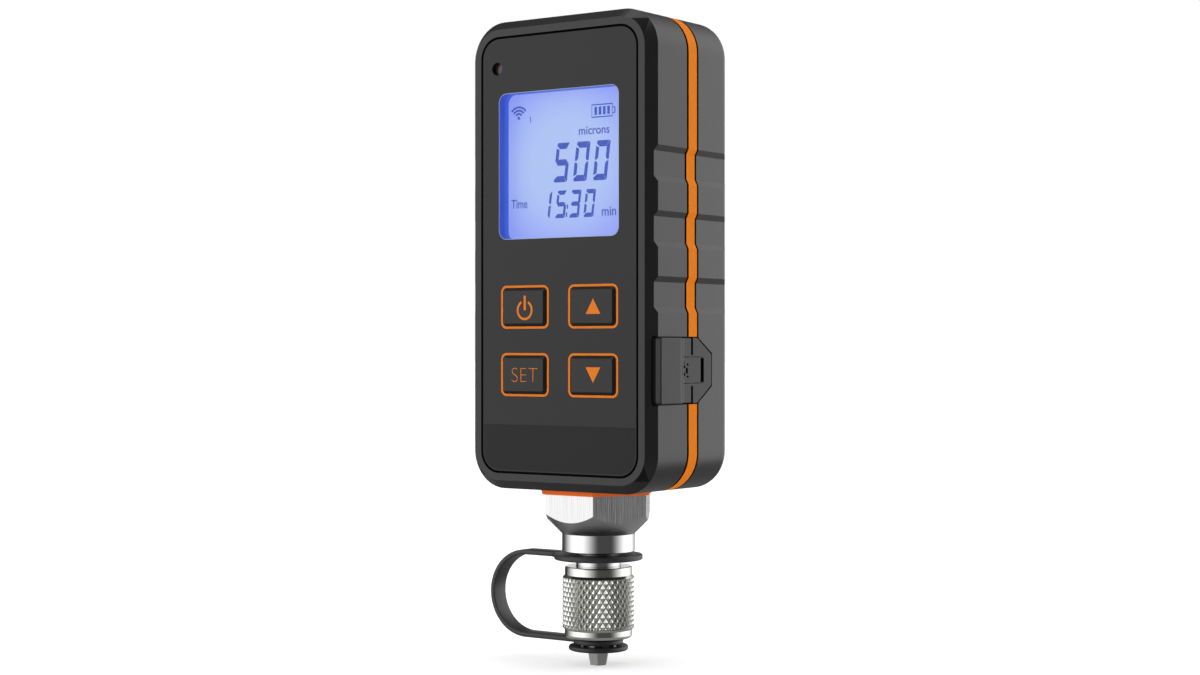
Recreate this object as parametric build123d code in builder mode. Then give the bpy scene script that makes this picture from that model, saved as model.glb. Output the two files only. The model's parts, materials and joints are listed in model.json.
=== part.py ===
from build123d import *
import math
import os

os.makedirs("parts", exist_ok=True)

# Hand-held digital vacuum gauge. It stands upright on its service coupler.
# The screen faces -Y, the charging port is on +X, and +Z is up.
# The origin is the middle of the coupler nut's mouth, on the axis of the fitting.
# All sizes are in millimetres.

# Moulded housing: two shells with a coloured band clamped between them
housing_width = 49.1
housing_height = 103.0
housing_bottom = 33.05
housing_front = -15.25
housing_rear = 15.35
corner_radius = 8.4
wall = 2.0
front_chamfer_face = 1.91
front_chamfer_side = 2.22
rear_round = 2.6
front_split = -1.88
rear_split = 2.66
band_crown_front = -1.2
band_crown_rear = 2.1
band_lip_inset = 0.5

# Grip flutes on both sides: flat-floored steps with sloped ends
grip_count = 3
grip_first_top = 106.8
grip_pitch = 13.8
grip_height = 7.7
grip_depth = 0.6
grip_slope = 1.22

# Front panel set in a bed with a shadow gap all round
bed_width = 42.06
bed_height = 96.04
bed_radius = 4.8
bed_depth = 1.9
bed_floor_thickness = 1.2
panel_width = 40.98
panel_height = 95.0
panel_radius = 4.3
panel_below_rim = 0.05

# Screen window and the display stack behind it
window_size = 32.1
window_radius = 2.0
window_height = 103.88
glass_width = 36.4
glass_height = 39.0
glass_middle = 103.0
glass_front = -11.76
glass_thickness = 2.0
shroud_wall = 1.05

# Keys
key_left = -8.9
key_right = 9.34
key_upper = 72.98
key_lower = 58.22
key_width = 11.8
key_height = 8.25
key_gap = 0.1
key_radius = 1.1
key_proud = 0.6
key_bevel = 0.55
key_flange = 0.7
key_travel = 0.8
dome_height = 1.8

# Status light
light_x = -16.58
light_z = 125.5
light_hole = 1.4

# Main board
board_front = -7.2
board_thickness = 1.6
board_width = 41.6
board_bottom = 42.3
board_top = 127.0

# Port cover on the right side
cover_low = 52.2
cover_high = 66.3
cover_gap = 0.2
cover_front = -13.88
cover_ramp_start = -5.83
cover_ramp_end = -3.43
cover_slit_front = -0.27
cover_slit_rear = 0.52
cover_proud = 1.3
pocket_depth = 1.0
tab_taper_start = 2.3
tab_end = 7.95
tab_low = 55.95
tab_high = 62.75
web_low = 55.9
web_high = 62.6
hinge_x = 24.1
hinge_y = 0.35
hinge_radius = 0.6
tongue_low = 56.5
tongue_high = 62.15
tongue_line = 0.14
tongue_line_depth = 0.12
port_height = 59.2
socket_depth = 3.16
socket_width = 8.94

# Turned fitting
hex_flats = 22.0
hex_top = 31.98
collar_radius = 8.09
collar_bottom = 19.02
collar_top = 23.07
neck_radius = 4.97
neck_bottom = 8.2
shank_radius = 6.0
shank_top = 41.0
gas_bore = 1.6
seal_flats = 23.9
seal_draft = 0.35

# Swivel coupler nut with a 7/16-20 service thread
nut_height = 15.82
nut_collar_radius = 7.47
nut_mouth_round = 0.8
knurl_radius = 8.0
knurl_low = 2.42
knurl_high = 13.44
thread_radius = 4.95
thread_top = 8.0
swivel_clearance = 0.08
snap_ring_height = 12.4
snap_ring_wire = 0.45

# Flexible strap that ties the dust plug to the neck
strap_thickness = 1.15
strap_width = 4.4
strap_upper_bottom = 17.3
strap_lower_bottom = -1.35
strap_upper_radius = 9.8
strap_lower_radius = 5.47
strap_bend_x = -18.85

# Dust plug
plug_stem_radius = 4.86
plug_stem_top = 6.0
plug_neck_radius = 2.8
plug_washer_radius = 6.58
plug_washer_top = -1.65
plug_washer_bottom = -2.75
plug_end = -6.07

# Worked out from the driving sizes
half_width = housing_width / 2
housing_top = housing_bottom + housing_height
housing_middle = housing_bottom + housing_height / 2
inner_width = housing_width - 2 * wall
inner_height = housing_height - 2 * wall
inner_radius = corner_radius - wall
bed_floor = housing_front + bed_depth
bed_back = bed_floor + bed_floor_thickness
panel_front = housing_front + panel_below_rim
board_rear = board_front + board_thickness
board_middle = (board_bottom + board_top) / 2
port_depth_y = board_front - socket_depth / 2
hex_radius = hex_flats / math.sqrt(3)
seal_radius = seal_flats / math.sqrt(3)
cover_floor = half_width - pocket_depth
cover_middle = (cover_low + cover_high) / 2
cover_height = cover_high - cover_low
shell_screw_spots = [(x, z) for x in (-18.4, 18.4) for z in (39.4, 129.7)]
board_screw_spots = [(-18.2, 46.6), (18.2, 46.6), (-10.0, 125.6), (10.0, 125.6)]


def across(y):
    """Plane across the housing at depth y, drawn as seen from the front."""
    return Plane.XZ.offset(-y)


def save(piece, name):
    """Name a finished piece and write it to its own file."""
    piece.part.label = name
    export_step(piece.part, f"parts/{name}.step")



def grip_flutes(inset):
    """Cutter for the stepped flutes of a surface that lies inset from the housing's sides."""
    with BuildPart() as cutter:
        with BuildSketch(across(housing_rear + 1)):
            for side in (-1, 1):
                for step in range(grip_count):
                    top = grip_first_top - step * grip_pitch
                    low = top - grip_height
                    face = side * (half_width - inset)
                    floor = side * (half_width - inset - grip_depth)
                    outside = side * (half_width + 1)
                    with BuildLine():
                        Polyline(
                            (outside, top),
                            (face, top),
                            (floor, top - grip_slope),
                            (floor, low + grip_slope),
                            (face, low),
                            (outside, low),
                            close=True,
                        )
                    make_face()
        extrude(amount=housing_rear - housing_front + 2)
    return cutter.part


# The shells and the band's crown take the same flutes, so that the steps line up
grip_cutter = grip_flutes(0)

# Pocket that the port cover lies in, open towards the front
with BuildPart() as pocket_cutter:
    with BuildSketch(Plane.YZ.offset(cover_floor)):
        with BuildLine():
            Polyline(
                (housing_front - 1, cover_low - cover_gap),
                (tab_taper_start, cover_low - cover_gap),
                (tab_end + cover_gap, tab_low - cover_gap),
                (tab_end + cover_gap, tab_high + cover_gap),
                (tab_taper_start, cover_high + cover_gap),
                (housing_front - 1, cover_high + cover_gap),
                close=True,
            )
        make_face()
    extrude(amount=pocket_depth + 1)

# Hole for the fitting's shank, through the floor of the housing
with BuildPart() as shank_cutter:
    with BuildSketch(Plane.XY.offset(housing_bottom - 1)):
        Circle(shank_radius + 0.1)
    extrude(amount=wall + 2)

# Front shell, moulded in one piece with its screw bosses
with BuildPart() as front_housing:
    with BuildSketch(across(front_split)):
        with Locations((0, housing_middle)):
            RectangleRounded(housing_width, housing_height, corner_radius)
    extrude(amount=front_split - housing_front)
    front_face = front_housing.faces().sort_by(Axis.Y)[0]
    chamfer(front_face.edges(), front_chamfer_face, front_chamfer_side, reference=front_face)
    with BuildSketch(across(bed_floor)):
        with Locations((0, housing_middle - 0.02)):
            RectangleRounded(bed_width, bed_height, bed_radius)
    extrude(amount=bed_depth, mode=Mode.SUBTRACT)
    with BuildSketch(across(front_split)):
        with Locations((0, housing_middle)):
            RectangleRounded(inner_width, inner_height, inner_radius)
    extrude(amount=front_split - bed_back, mode=Mode.SUBTRACT)
    with BuildSketch(across(bed_back)):
        with Locations((0, window_height)):
            Rectangle(window_size + 2 * shroud_wall + 0.2, window_size + 2 * shroud_wall + 0.2)
        with Locations(*[(x, z) for x in (key_left, key_right) for z in (key_upper, key_lower)]):
            Rectangle(key_width + 2 * key_flange + 0.6, key_height + 2 * key_flange + 0.6)
        with Locations((light_x, light_z)):
            Circle(light_hole + 0.3)
    extrude(amount=bed_floor_thickness, mode=Mode.SUBTRACT)
    with BuildSketch(across(rear_split)):
        with Locations(*shell_screw_spots):
            Circle(2.6)
    extrude(amount=rear_split - bed_back)
    with BuildSketch(across(rear_split)):
        with Locations(*shell_screw_spots):
            Circle(1.3)
    extrude(amount=12, mode=Mode.SUBTRACT)
    with BuildSketch(across(board_front)):
        with Locations(*board_screw_spots):
            Circle(2.0)
    extrude(amount=board_front - bed_back)
    with BuildSketch(across(board_front)):
        with Locations(*board_screw_spots):
            Circle(0.8)
    extrude(amount=3.6, mode=Mode.SUBTRACT)
    # Slot in the side wall for the charging socket
    with BuildSketch(Plane.YZ.offset(half_width - wall - 1)):
        with Locations((port_depth_y, port_height)):
            SlotOverall(9.6, 3.8, rotation=90)
    extrude(amount=wall + 2, mode=Mode.SUBTRACT)
    add(grip_cutter, mode=Mode.SUBTRACT)
    add(pocket_cutter.part, mode=Mode.SUBTRACT)
    add(shank_cutter.part, mode=Mode.SUBTRACT)
save(front_housing, "front_housing")

# Coloured band between the shells, with a lip on each side of its crown
with BuildPart() as mid_band:
    with BuildSketch(across(rear_split)):
        with Locations((0, housing_middle)):
            RectangleRounded(
                housing_width - 2 * band_lip_inset,
                housing_height - 2 * band_lip_inset,
                corner_radius - band_lip_inset,
            )
    extrude(amount=rear_split - front_split)
    add(grip_flutes(band_lip_inset), mode=Mode.SUBTRACT)
    with BuildSketch(across(band_crown_rear)):
        with Locations((0, housing_middle)):
            RectangleRounded(housing_width, housing_height, corner_radius)
    extrude(amount=band_crown_rear - band_crown_front)
    with BuildSketch(across(rear_split)):
        with Locations((0, housing_middle)):
            RectangleRounded(inner_width, inner_height, inner_radius)
    extrude(amount=rear_split - front_split, mode=Mode.SUBTRACT)
    add(grip_cutter, mode=Mode.SUBTRACT)
    add(pocket_cutter.part, mode=Mode.SUBTRACT)
    add(shank_cutter.part, mode=Mode.SUBTRACT)
save(mid_band, "mid_band")

# Rear shell with a rounded back edge and four deep screw wells
with BuildPart() as rear_housing:
    with BuildSketch(across(housing_rear)):
        with Locations((0, housing_middle)):
            RectangleRounded(housing_width, housing_height, corner_radius)
    extrude(amount=housing_rear - rear_split)
    fillet(rear_housing.faces().sort_by(Axis.Y)[-1].edges(), rear_round)
    with BuildSketch(across(housing_rear - wall)):
        with Locations((0, housing_middle)):
            RectangleRounded(inner_width, inner_height, inner_radius)
    extrude(amount=housing_rear - wall - rear_split, mode=Mode.SUBTRACT)
    with BuildSketch(across(housing_rear - wall)):
        with Locations(*shell_screw_spots):
            Circle(3.9)
    extrude(amount=housing_rear - wall - rear_split)
    with BuildSketch(across(housing_rear)):
        with Locations(*shell_screw_spots):
            Circle(1.5)
    extrude(amount=housing_rear - rear_split, mode=Mode.SUBTRACT)
    with BuildSketch(across(housing_rear)):
        with Locations(*shell_screw_spots):
            Circle(2.8)
    extrude(amount=4, mode=Mode.SUBTRACT)
    # Hole for the port cover's anchor stub
    with BuildSketch(Plane.YZ.offset(half_width - wall - 1)):
        with Locations((6.3, port_height)):
            Circle(1.25)
    extrude(amount=wall + 2, mode=Mode.SUBTRACT)
    add(grip_cutter, mode=Mode.SUBTRACT)
    add(pocket_cutter.part, mode=Mode.SUBTRACT)
    add(shank_cutter.part, mode=Mode.SUBTRACT)
save(rear_housing, "rear_housing")

# Four long shell screws with cross-slotted pan heads, driven from the back
with BuildPart() as shell_screws:
    with BuildSketch(across(housing_rear - 4)):
        with Locations(*shell_screw_spots):
            Circle(1.3)
    extrude(amount=17)
    with BuildSketch(across(housing_rear - 2.2)):
        with Locations(*shell_screw_spots):
            Circle(2.4)
    extrude(amount=1.8)
    heads = shell_screws.faces().sort_by(Axis.Y)[-4:]
    chamfer(heads.edges(), 0.4)
    with BuildSketch(across(housing_rear - 2.2)):
        with Locations(*shell_screw_spots):
            Rectangle(2.6, 0.55)
            Rectangle(0.55, 2.6)
    extrude(amount=1.0, mode=Mode.SUBTRACT)
save(shell_screws, "shell_screws")

# Front panel: a flat plate with the screen window, key holes and light hole
with BuildPart() as front_panel:
    with BuildSketch(across(bed_floor)):
        with Locations((0, housing_middle - 0.02)):
            RectangleRounded(panel_width, panel_height, panel_radius)
        with Locations((0, window_height)):
            RectangleRounded(window_size, window_size, window_radius, mode=Mode.SUBTRACT)
        with Locations(*[(x, z) for x in (key_left, key_right) for z in (key_upper, key_lower)]):
            RectangleRounded(
                key_width + 2 * key_gap, key_height + 2 * key_gap, key_radius, mode=Mode.SUBTRACT
            )
        with Locations((light_x, light_z)):
            Circle(light_hole, mode=Mode.SUBTRACT)
    extrude(amount=bed_floor - panel_front)
save(front_panel, "front_panel")

# Clear lens bonded in the panel's window
with BuildPart() as window_lens:
    with BuildSketch(across(panel_front + 1.0)):
        with Locations((0, window_height)):
            RectangleRounded(window_size - 0.06, window_size - 0.06, window_radius - 0.03)
    extrude(amount=0.9)
save(window_lens, "window_lens")

# Screen shroud: a square tube behind the window that widens into a frame for the glass
with BuildPart() as screen_shroud:
    with BuildSketch(across(glass_front)):
        with Locations((0, window_height)):
            Rectangle(window_size + 2 * shroud_wall, window_size + 2 * shroud_wall)
    extrude(amount=glass_front - bed_floor)
    with BuildSketch(across(glass_front + 3.2)):
        with Locations((0, glass_middle)):
            Rectangle(glass_width + 2.4, glass_height + 1.8)
    extrude(amount=glass_front + 3.2 - bed_back)
    with BuildSketch(across(glass_front)):
        with Locations((0, window_height)):
            RectangleRounded(window_size, window_size, window_radius)
    extrude(amount=glass_front - bed_floor, mode=Mode.SUBTRACT)
    with BuildSketch(across(glass_front + 3.2)):
        with Locations((0, glass_middle)):
            Rectangle(glass_width + 0.2, glass_height + 0.2)
    extrude(amount=3.2, mode=Mode.SUBTRACT)
save(screen_shroud, "screen_shroud")

# Liquid crystal glass: two bonded sheets, the rear one longer at the bottom for its contacts
with BuildPart() as screen_glass:
    with BuildSketch(across(glass_front + glass_thickness)):
        with Locations((0, glass_middle)):
            Rectangle(glass_width, glass_height)
    extrude(amount=glass_thickness)
save(screen_glass, "screen_glass")

# Light guide behind the glass
with BuildPart() as screen_backlight:
    with BuildSketch(across(board_front)):
        with Locations((0, glass_middle + 1.4)):
            Rectangle(glass_width - 2.4, glass_height - 4)
    extrude(amount=board_front - glass_front - glass_thickness)
    fillet(screen_backlight.edges().filter_by(Axis.Y), 1.0)
save(screen_backlight, "screen_backlight")

# Striped rubber strip that joins the glass's contacts to the board
with BuildPart() as contact_strip:
    with BuildSketch(across(board_front)):
        with Locations((0, glass_middle - glass_height / 2 + 1.4)):
            Rectangle(30, 1.8)
    extrude(amount=board_front - glass_front - glass_thickness)
save(contact_strip, "contact_strip")


def make_key(x, z, name):
    """Hard keycap: bevelled top, guide flange behind the panel and a centre plunger."""
    with BuildPart() as key:
        with BuildSketch(across(bed_floor + 0.05)):
            with Locations((x, z)):
                RectangleRounded(key_width, key_height, key_radius - key_gap)
        extrude(amount=bed_floor + 0.05 - panel_front + key_proud)
        chamfer(key.faces().sort_by(Axis.Y)[0].edges(), key_bevel)
        with BuildSketch(across(bed_floor + 0.95)):
            with Locations((x, z)):
                RectangleRounded(key_width + 2 * key_flange, key_height + 2 * key_flange, 1.2)
        extrude(amount=0.9)
        plunger_tip = board_front - dome_height - 0.02
        with BuildSketch(across(plunger_tip)):
            with Locations((x, z)):
                Circle(1.5)
        extrude(amount=plunger_tip - bed_floor - 0.95)
    save(key, name)


def make_dome(x, z, name):
    """Rubber dome on the board, which springs the key back."""
    with BuildPart() as dome:
        with BuildSketch(across(board_front)):
            with Locations((x, z)):
                Circle(2.8)
        extrude(amount=0.3)
        with BuildSketch(across(board_front - 0.3)):
            with Locations((x, z)):
                Circle(2.4)
        with BuildSketch(across(board_front - dome_height)):
            with Locations((x, z)):
                Circle(1.6)
        loft()
    save(dome, name)


key_places = {
    "power": (key_left, key_upper),
    "up": (key_right, key_upper),
    "set": (key_left, key_lower),
    "down": (key_right, key_lower),
}
for key_name, (key_x, key_z) in key_places.items():
    make_key(key_x, key_z, f"key_{key_name}")
    make_dome(key_x, key_z, f"dome_{key_name}")

# Light pipe behind the small hole in the panel
with BuildPart() as light_pipe:
    with BuildSketch(across(board_front - 1.3)):
        with Locations((light_x, light_z)):
            Circle(light_hole - 0.1)
    extrude(amount=board_front - 1.3 - panel_front - 1.1)
    with BuildSketch(across(bed_back + 0.6)):
        with Locations((light_x, light_z)):
            Circle(light_hole + 0.5)
    extrude(amount=0.6)
save(light_pipe, "light_pipe")

# Status light on the board, under the light pipe
with BuildPart() as status_light:
    with BuildSketch(across(board_front)):
        with Locations((light_x, light_z)):
            Rectangle(3.0, 1.6)
    extrude(amount=0.5)
    with BuildSketch(across(board_front - 0.5)):
        with Locations((light_x, light_z)):
            Rectangle(2.0, 1.4)
    extrude(amount=0.75, taper=15)
save(status_light, "status_light")

# Main circuit board
with BuildPart() as main_board:
    with BuildSketch(across(board_rear)):
        with Locations((0, board_middle)):
            RectangleRounded(board_width, board_top - board_bottom, 1.5)
        with Locations(*board_screw_spots):
            Circle(1.1, mode=Mode.SUBTRACT)
    extrude(amount=board_thickness)
save(main_board, "main_board")

# Four small screws that hold the board to the front shell
with BuildPart() as board_screws:
    with BuildSketch(across(board_rear)):
        with Locations(*board_screw_spots):
            Circle(0.8)
    extrude(amount=4.6)
    with BuildSketch(across(board_rear + 1.2)):
        with Locations(*board_screw_spots):
            Circle(1.8)
    extrude(amount=1.2)
    with BuildSketch(across(board_rear + 1.2)):
        with Locations(*board_screw_spots):
            Rectangle(2.0, 0.45)
            Rectangle(0.45, 2.0)
    extrude(amount=0.6, mode=Mode.SUBTRACT)
save(board_screws, "board_screws")

# Charging socket: a drawn steel shell with a contact tongue inside
with BuildPart() as charging_socket:
    with BuildSketch(Plane.YZ.offset(15.9)):
        with Locations((port_depth_y, port_height)):
            SlotOverall(socket_width, socket_depth, rotation=90)
    extrude(amount=7.3)
    with BuildSketch(Plane.YZ.offset(17.2)):
        with Locations((port_depth_y, port_height)):
            SlotOverall(socket_width - 0.6, socket_depth - 0.6, rotation=90)
    extrude(amount=6.0, mode=Mode.SUBTRACT)
    with BuildSketch(Plane.YZ.offset(17.0)):
        with Locations((port_depth_y, port_height)):
            Rectangle(0.7, 6.7)
    extrude(amount=4.6)
save(charging_socket, "charging_socket")

# Parts on the back of the board
with BuildPart() as controller_chip:
    with BuildSketch(across(board_rear + 1.2)):
        with Locations((0, 92)):
            Rectangle(9, 9)
    extrude(amount=1.2)
    chamfer(controller_chip.edges().filter_by(Axis.Y), 0.5)
save(controller_chip, "controller_chip")

with BuildPart() as wireless_module:
    with BuildSketch(across(board_rear + 0.8)):
        with Locations((0, 114)):
            Rectangle(14, 18)
    extrude(amount=0.8)
    with BuildSketch(across(board_rear + 2.4)):
        with Locations((0, 112)):
            Rectangle(12.6, 12)
    extrude(amount=1.6)
    fillet(wireless_module.edges().filter_by(Axis.Y), 0.4)
save(wireless_module, "wireless_module")

with BuildPart() as buzzer:
    with BuildSketch(across(board_rear + 4)):
        with Locations((-13.5, 57)):
            Circle(4.6)
    extrude(amount=4)
    fillet(buzzer.faces().sort_by(Axis.Y)[-1].edges(), 0.4)
    with BuildSketch(across(board_rear + 4)):
        with Locations((-13.5, 57)):
            Circle(0.9)
    extrude(amount=1, mode=Mode.SUBTRACT)
save(buzzer, "buzzer")

with BuildPart() as battery_plug:
    with BuildSketch(across(board_rear + 3.4)):
        with Locations((13, 74)):
            Rectangle(7.5, 4.5)
    extrude(amount=3.4)
    with BuildSketch(across(board_rear + 3.4)):
        with Locations((13, 74)):
            Rectangle(6.3, 3.3)
    extrude(amount=0.8, mode=Mode.SUBTRACT)
save(battery_plug, "battery_plug")

# Rechargeable pouch cell on a foam pad against the back wall
with BuildPart() as battery_cell:
    with BuildSketch(across(housing_rear - wall - 1.0)):
        with Locations((0, 88)):
            Rectangle(34, 52)
    extrude(amount=6.2)
    fillet(battery_cell.edges().filter_by(Axis.Z), 2.4)
save(battery_cell, "battery_cell")

with BuildPart() as battery_pad:
    with BuildSketch(across(housing_rear - wall)):
        with Locations((0, 88)):
            Rectangle(28, 46)
    extrude(amount=1.0)
save(battery_pad, "battery_pad")

# Cover profile, seen along Z: a thick nail block at the front that ramps down flush
with BuildPart() as port_cover:
    with BuildSketch(Plane.XY.offset(cover_low)):
        with BuildLine():
            Polyline(
                (cover_floor + 0.05, cover_front),
                (half_width + cover_proud, cover_front),
                (half_width + cover_proud, cover_ramp_start),
                (half_width, cover_ramp_end),
                (half_width, cover_slit_front),
                (cover_floor + 0.05, cover_slit_front),
                close=True,
            )
        make_face()
    extrude(amount=cover_height)
    fillet(port_cover.edges().filter_by(Axis.X).sort_by(Axis.Y)[:2], 0.6)
    fillet(port_cover.edges().filter_by(Axis.Z).sort_by(Axis.Y)[2:4], 2.5)
    front_edges = port_cover.faces().sort_by(Axis.Y)[0].edges()
    fillet(front_edges.sort_by(Axis.X)[-1], 0.3)
    # Small dimples that mark the port
    with BuildSketch(Plane.YZ.offset(half_width - 0.3)):
        with Locations((-1.67, 60.54), (-2.85, 60.02), (-2.85, 58.41), (-1.67, 57.93)):
            Circle(0.24)
        with Locations((-1.87, 59.2)):
            SlotOverall(1.3, 0.5, rotation=90)
    extrude(amount=1, mode=Mode.SUBTRACT)
    # Fine lines above and below the tongue
    with BuildSketch(Plane.YZ.offset(half_width - tongue_line_depth)):
        with Locations(((cover_ramp_end + cover_slit_front) / 2, tongue_low)):
            Rectangle(cover_slit_front - cover_ramp_end, tongue_line)
        with Locations(((cover_ramp_end + cover_slit_front) / 2, tongue_high)):
            Rectangle(cover_slit_front - cover_ramp_end, tongue_line)
    extrude(amount=1, mode=Mode.SUBTRACT)
    # Plug that seals the charging socket
    with BuildSketch(Plane.YZ.offset(cover_floor + 0.05)):
        with Locations((port_depth_y, port_height)):
            SlotOverall(8.9, 3.1, rotation=90)
    extrude(amount=-0.3)
    with BuildSketch(Plane.YZ.offset(cover_floor)):
        with Locations((port_depth_y, port_height)):
            SlotOverall(7.9, 2.1, rotation=90)
    extrude(amount=-1.1)
save(port_cover, "port_cover")

# Cover anchor: the fixed end of the same soft moulding, with its thin hinge web and its stub
with BuildPart() as cover_anchor:
    with BuildSketch(Plane.YZ.offset(cover_floor + 0.05)):
        with BuildLine():
            Polyline(
                (cover_slit_rear, cover_low),
                (tab_taper_start, cover_low),
                (tab_end, tab_low),
                (tab_end, tab_high),
                (tab_taper_start, cover_high),
                (cover_slit_rear, cover_high),
                close=True,
            )
        make_face()
        with Locations((4.35, 59.3)):
            Rectangle(0.85, 5.2, mode=Mode.SUBTRACT)
    extrude(amount=pocket_depth - 0.05)
    fillet(cover_anchor.edges().filter_by(Axis.X).sort_by(Axis.Y)[-2:], 0.8)
    # Living hinge: a bead round the line on which the cover bends
    with BuildSketch(Plane.XY.offset(web_low)):
        with Locations((hinge_x, hinge_y)):
            Circle(hinge_radius)
        with Locations(((cover_floor + 0.05 + half_width) / 2, cover_slit_rear - 0.5)):
            Rectangle(pocket_depth - 0.05, 1.0, mode=Mode.INTERSECT)
    extrude(amount=web_high - web_low)
    with BuildSketch(Plane.YZ.offset(half_width - tongue_line_depth)):
        with Locations((2.25, tongue_low), (2.25, tongue_high)):
            Rectangle(5.05, tongue_line)
    extrude(amount=1, mode=Mode.SUBTRACT)
    with BuildSketch(Plane.YZ.offset(half_width - wall - 0.9)):
        with Locations((6.3, port_height)):
            Circle(1.2)
    extrude(amount=wall - pocket_depth + 1.0)
    with BuildSketch(Plane.YZ.offset(half_width - wall - 0.9)):
        with Locations((6.3, port_height)):
            Circle(1.8)
    extrude(amount=0.85)
save(cover_anchor, "cover_anchor")

# Soft hexagonal seal between the fitting and the housing's floor
with BuildPart() as fitting_seal:
    with BuildSketch(Plane.XY.offset(hex_top)):
        RegularPolygon(seal_radius - seal_draft, 6)
    with BuildSketch(Plane.XY.offset(housing_bottom)):
        RegularPolygon(seal_radius, 6)
    loft()
    with BuildSketch(Plane.XY.offset(hex_top)):
        Circle(shank_radius + 0.1)
    extrude(amount=2, mode=Mode.SUBTRACT)
save(fitting_seal, "fitting_seal")

# Turned fitting: hexagon with a coned underside, polished collar, neck and threaded shank
with BuildPart() as fitting_body:
    with BuildSketch(Plane.XY.offset(collar_top - 1)):
        RegularPolygon(hex_radius, 6)
    extrude(amount=hex_top - collar_top + 1)
    cone_rise = hex_radius - collar_radius + 0.3
    with BuildSketch(Plane.XZ):
        with BuildLine():
            Polyline(
                (0, collar_top),
                (collar_radius, collar_top),
                (collar_radius + cone_rise, collar_top + cone_rise),
                (collar_radius + cone_rise, hex_top),
                (0, hex_top),
                close=True,
            )
        make_face()
    revolve(axis=Axis.Z, mode=Mode.INTERSECT)
    with BuildSketch(Plane.XY.offset(collar_bottom)):
        Circle(collar_radius)
    extrude(amount=collar_top - collar_bottom)
    chamfer(fitting_body.faces().sort_by(Axis.Z)[0].edges(), 0.25)
    with BuildSketch(Plane.XY.offset(neck_bottom)):
        Circle(neck_radius)
    extrude(amount=collar_bottom - neck_bottom)
    with BuildSketch(Plane.XY.offset(hex_top)):
        Circle(shank_radius)
    extrude(amount=shank_top - hex_top)
    # Groove for the snap ring, half in the neck
    with BuildSketch(Plane.XZ):
        with Locations((neck_radius, snap_ring_height)):
            Rectangle(0.94, 0.92)
    revolve(axis=Axis.Z, mode=Mode.SUBTRACT)
    # Gas passage, opened out at the bottom for the core depressor
    with BuildSketch(Plane.XY.offset(neck_bottom)):
        Circle(gas_bore)
    extrude(amount=shank_top - neck_bottom, mode=Mode.SUBTRACT)
    with BuildSketch(Plane.XY.offset(neck_bottom)):
        Circle(2.2)
    extrude(amount=1.4, mode=Mode.SUBTRACT)
    # Groove for the sensor's ring seal
    with BuildSketch(Plane.XY.offset(shank_top - 0.9)):
        Circle(4.6)
        Circle(3.0, mode=Mode.SUBTRACT)
    extrude(amount=1, mode=Mode.SUBTRACT)
save(fitting_body, "fitting_body")

# Ring seal between the fitting and the sensor
with BuildPart() as sensor_seal:
    with BuildSketch(Plane.XZ):
        with Locations((3.8, shank_top - 0.45)):
            Circle(0.44)
    revolve(axis=Axis.Z)
save(sensor_seal, "sensor_seal")

# Lock nut that clamps the fitting from inside the housing
with BuildPart() as lock_nut:
    with BuildSketch(Plane.XY.offset(housing_bottom + wall)):
        RegularPolygon(17.0 / math.sqrt(3), 6)
        Circle(shank_radius, mode=Mode.SUBTRACT)
    extrude(amount=4)
save(lock_nut, "lock_nut")

# Thermal vacuum sensor: a sealed can with three pins
with BuildPart() as vacuum_sensor:
    with BuildSketch(Plane.XY.offset(shank_top)):
        Circle(5.2)
    extrude(amount=1.2)
    with BuildSketch(Plane.XY.offset(shank_top + 1.2)):
        Circle(4.6)
    extrude(amount=9)
    fillet(vacuum_sensor.faces().sort_by(Axis.Z)[-1].edges(), 0.6)
    with BuildSketch(Plane.XY.offset(shank_top + 10.2)):
        with PolarLocations(2.4, 3):
            Circle(0.35)
    extrude(amount=3)
save(vacuum_sensor, "vacuum_sensor")

# Small board that sits on the sensor's pins
with BuildPart() as sensor_board:
    with BuildSketch(Plane.XY.offset(shank_top + 10.2)):
        RectangleRounded(11, 8.4, 0.6)
        with PolarLocations(2.4, 3):
            Circle(0.4, mode=Mode.SUBTRACT)
    extrude(amount=0.8)
save(sensor_board, "sensor_board")

# Flat flexible cable from the sensor up to the main board
with BuildPart() as sensor_cable:
    with BuildSketch(Plane.YZ.offset(3.0)):
        with BuildLine():
            FilletPolyline(
                (2.5, shank_top + 11.1),
                (board_rear + 0.8, shank_top + 11.1),
                (board_rear + 0.8, 62.0),
                radius=2.0,
            )
        trace(line_width=0.2)
    extrude(amount=2.2)
save(sensor_cable, "sensor_cable")

# Connector on the main board that takes the flat cable from below
with BuildPart() as cable_connector:
    with BuildSketch(across(board_rear + 1.6)):
        with Locations((4.1, 63.1)):
            Rectangle(5.0, 2.2)
    extrude(amount=1.6)
    chamfer(cable_connector.faces().sort_by(Axis.Y)[-1].edges(), 0.25)
save(cable_connector, "cable_connector")

# Two insulated leads from the cell down and round to its plug
with BuildPart() as battery_leads:
    for lead_x in (12.2, 13.8):
        with BuildLine(Plane.YZ.offset(lead_x)):
            FilletPolyline((9.2, 62.0), (9.2, 58.5), (-3.9, 58.5), (-3.9, 71.75), radius=2.0)
        with BuildSketch(Plane(origin=(lead_x, 9.2, 62.0), z_dir=(0, 0, -1))):
            Circle(0.5)
        sweep()
save(battery_leads, "battery_leads")

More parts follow.
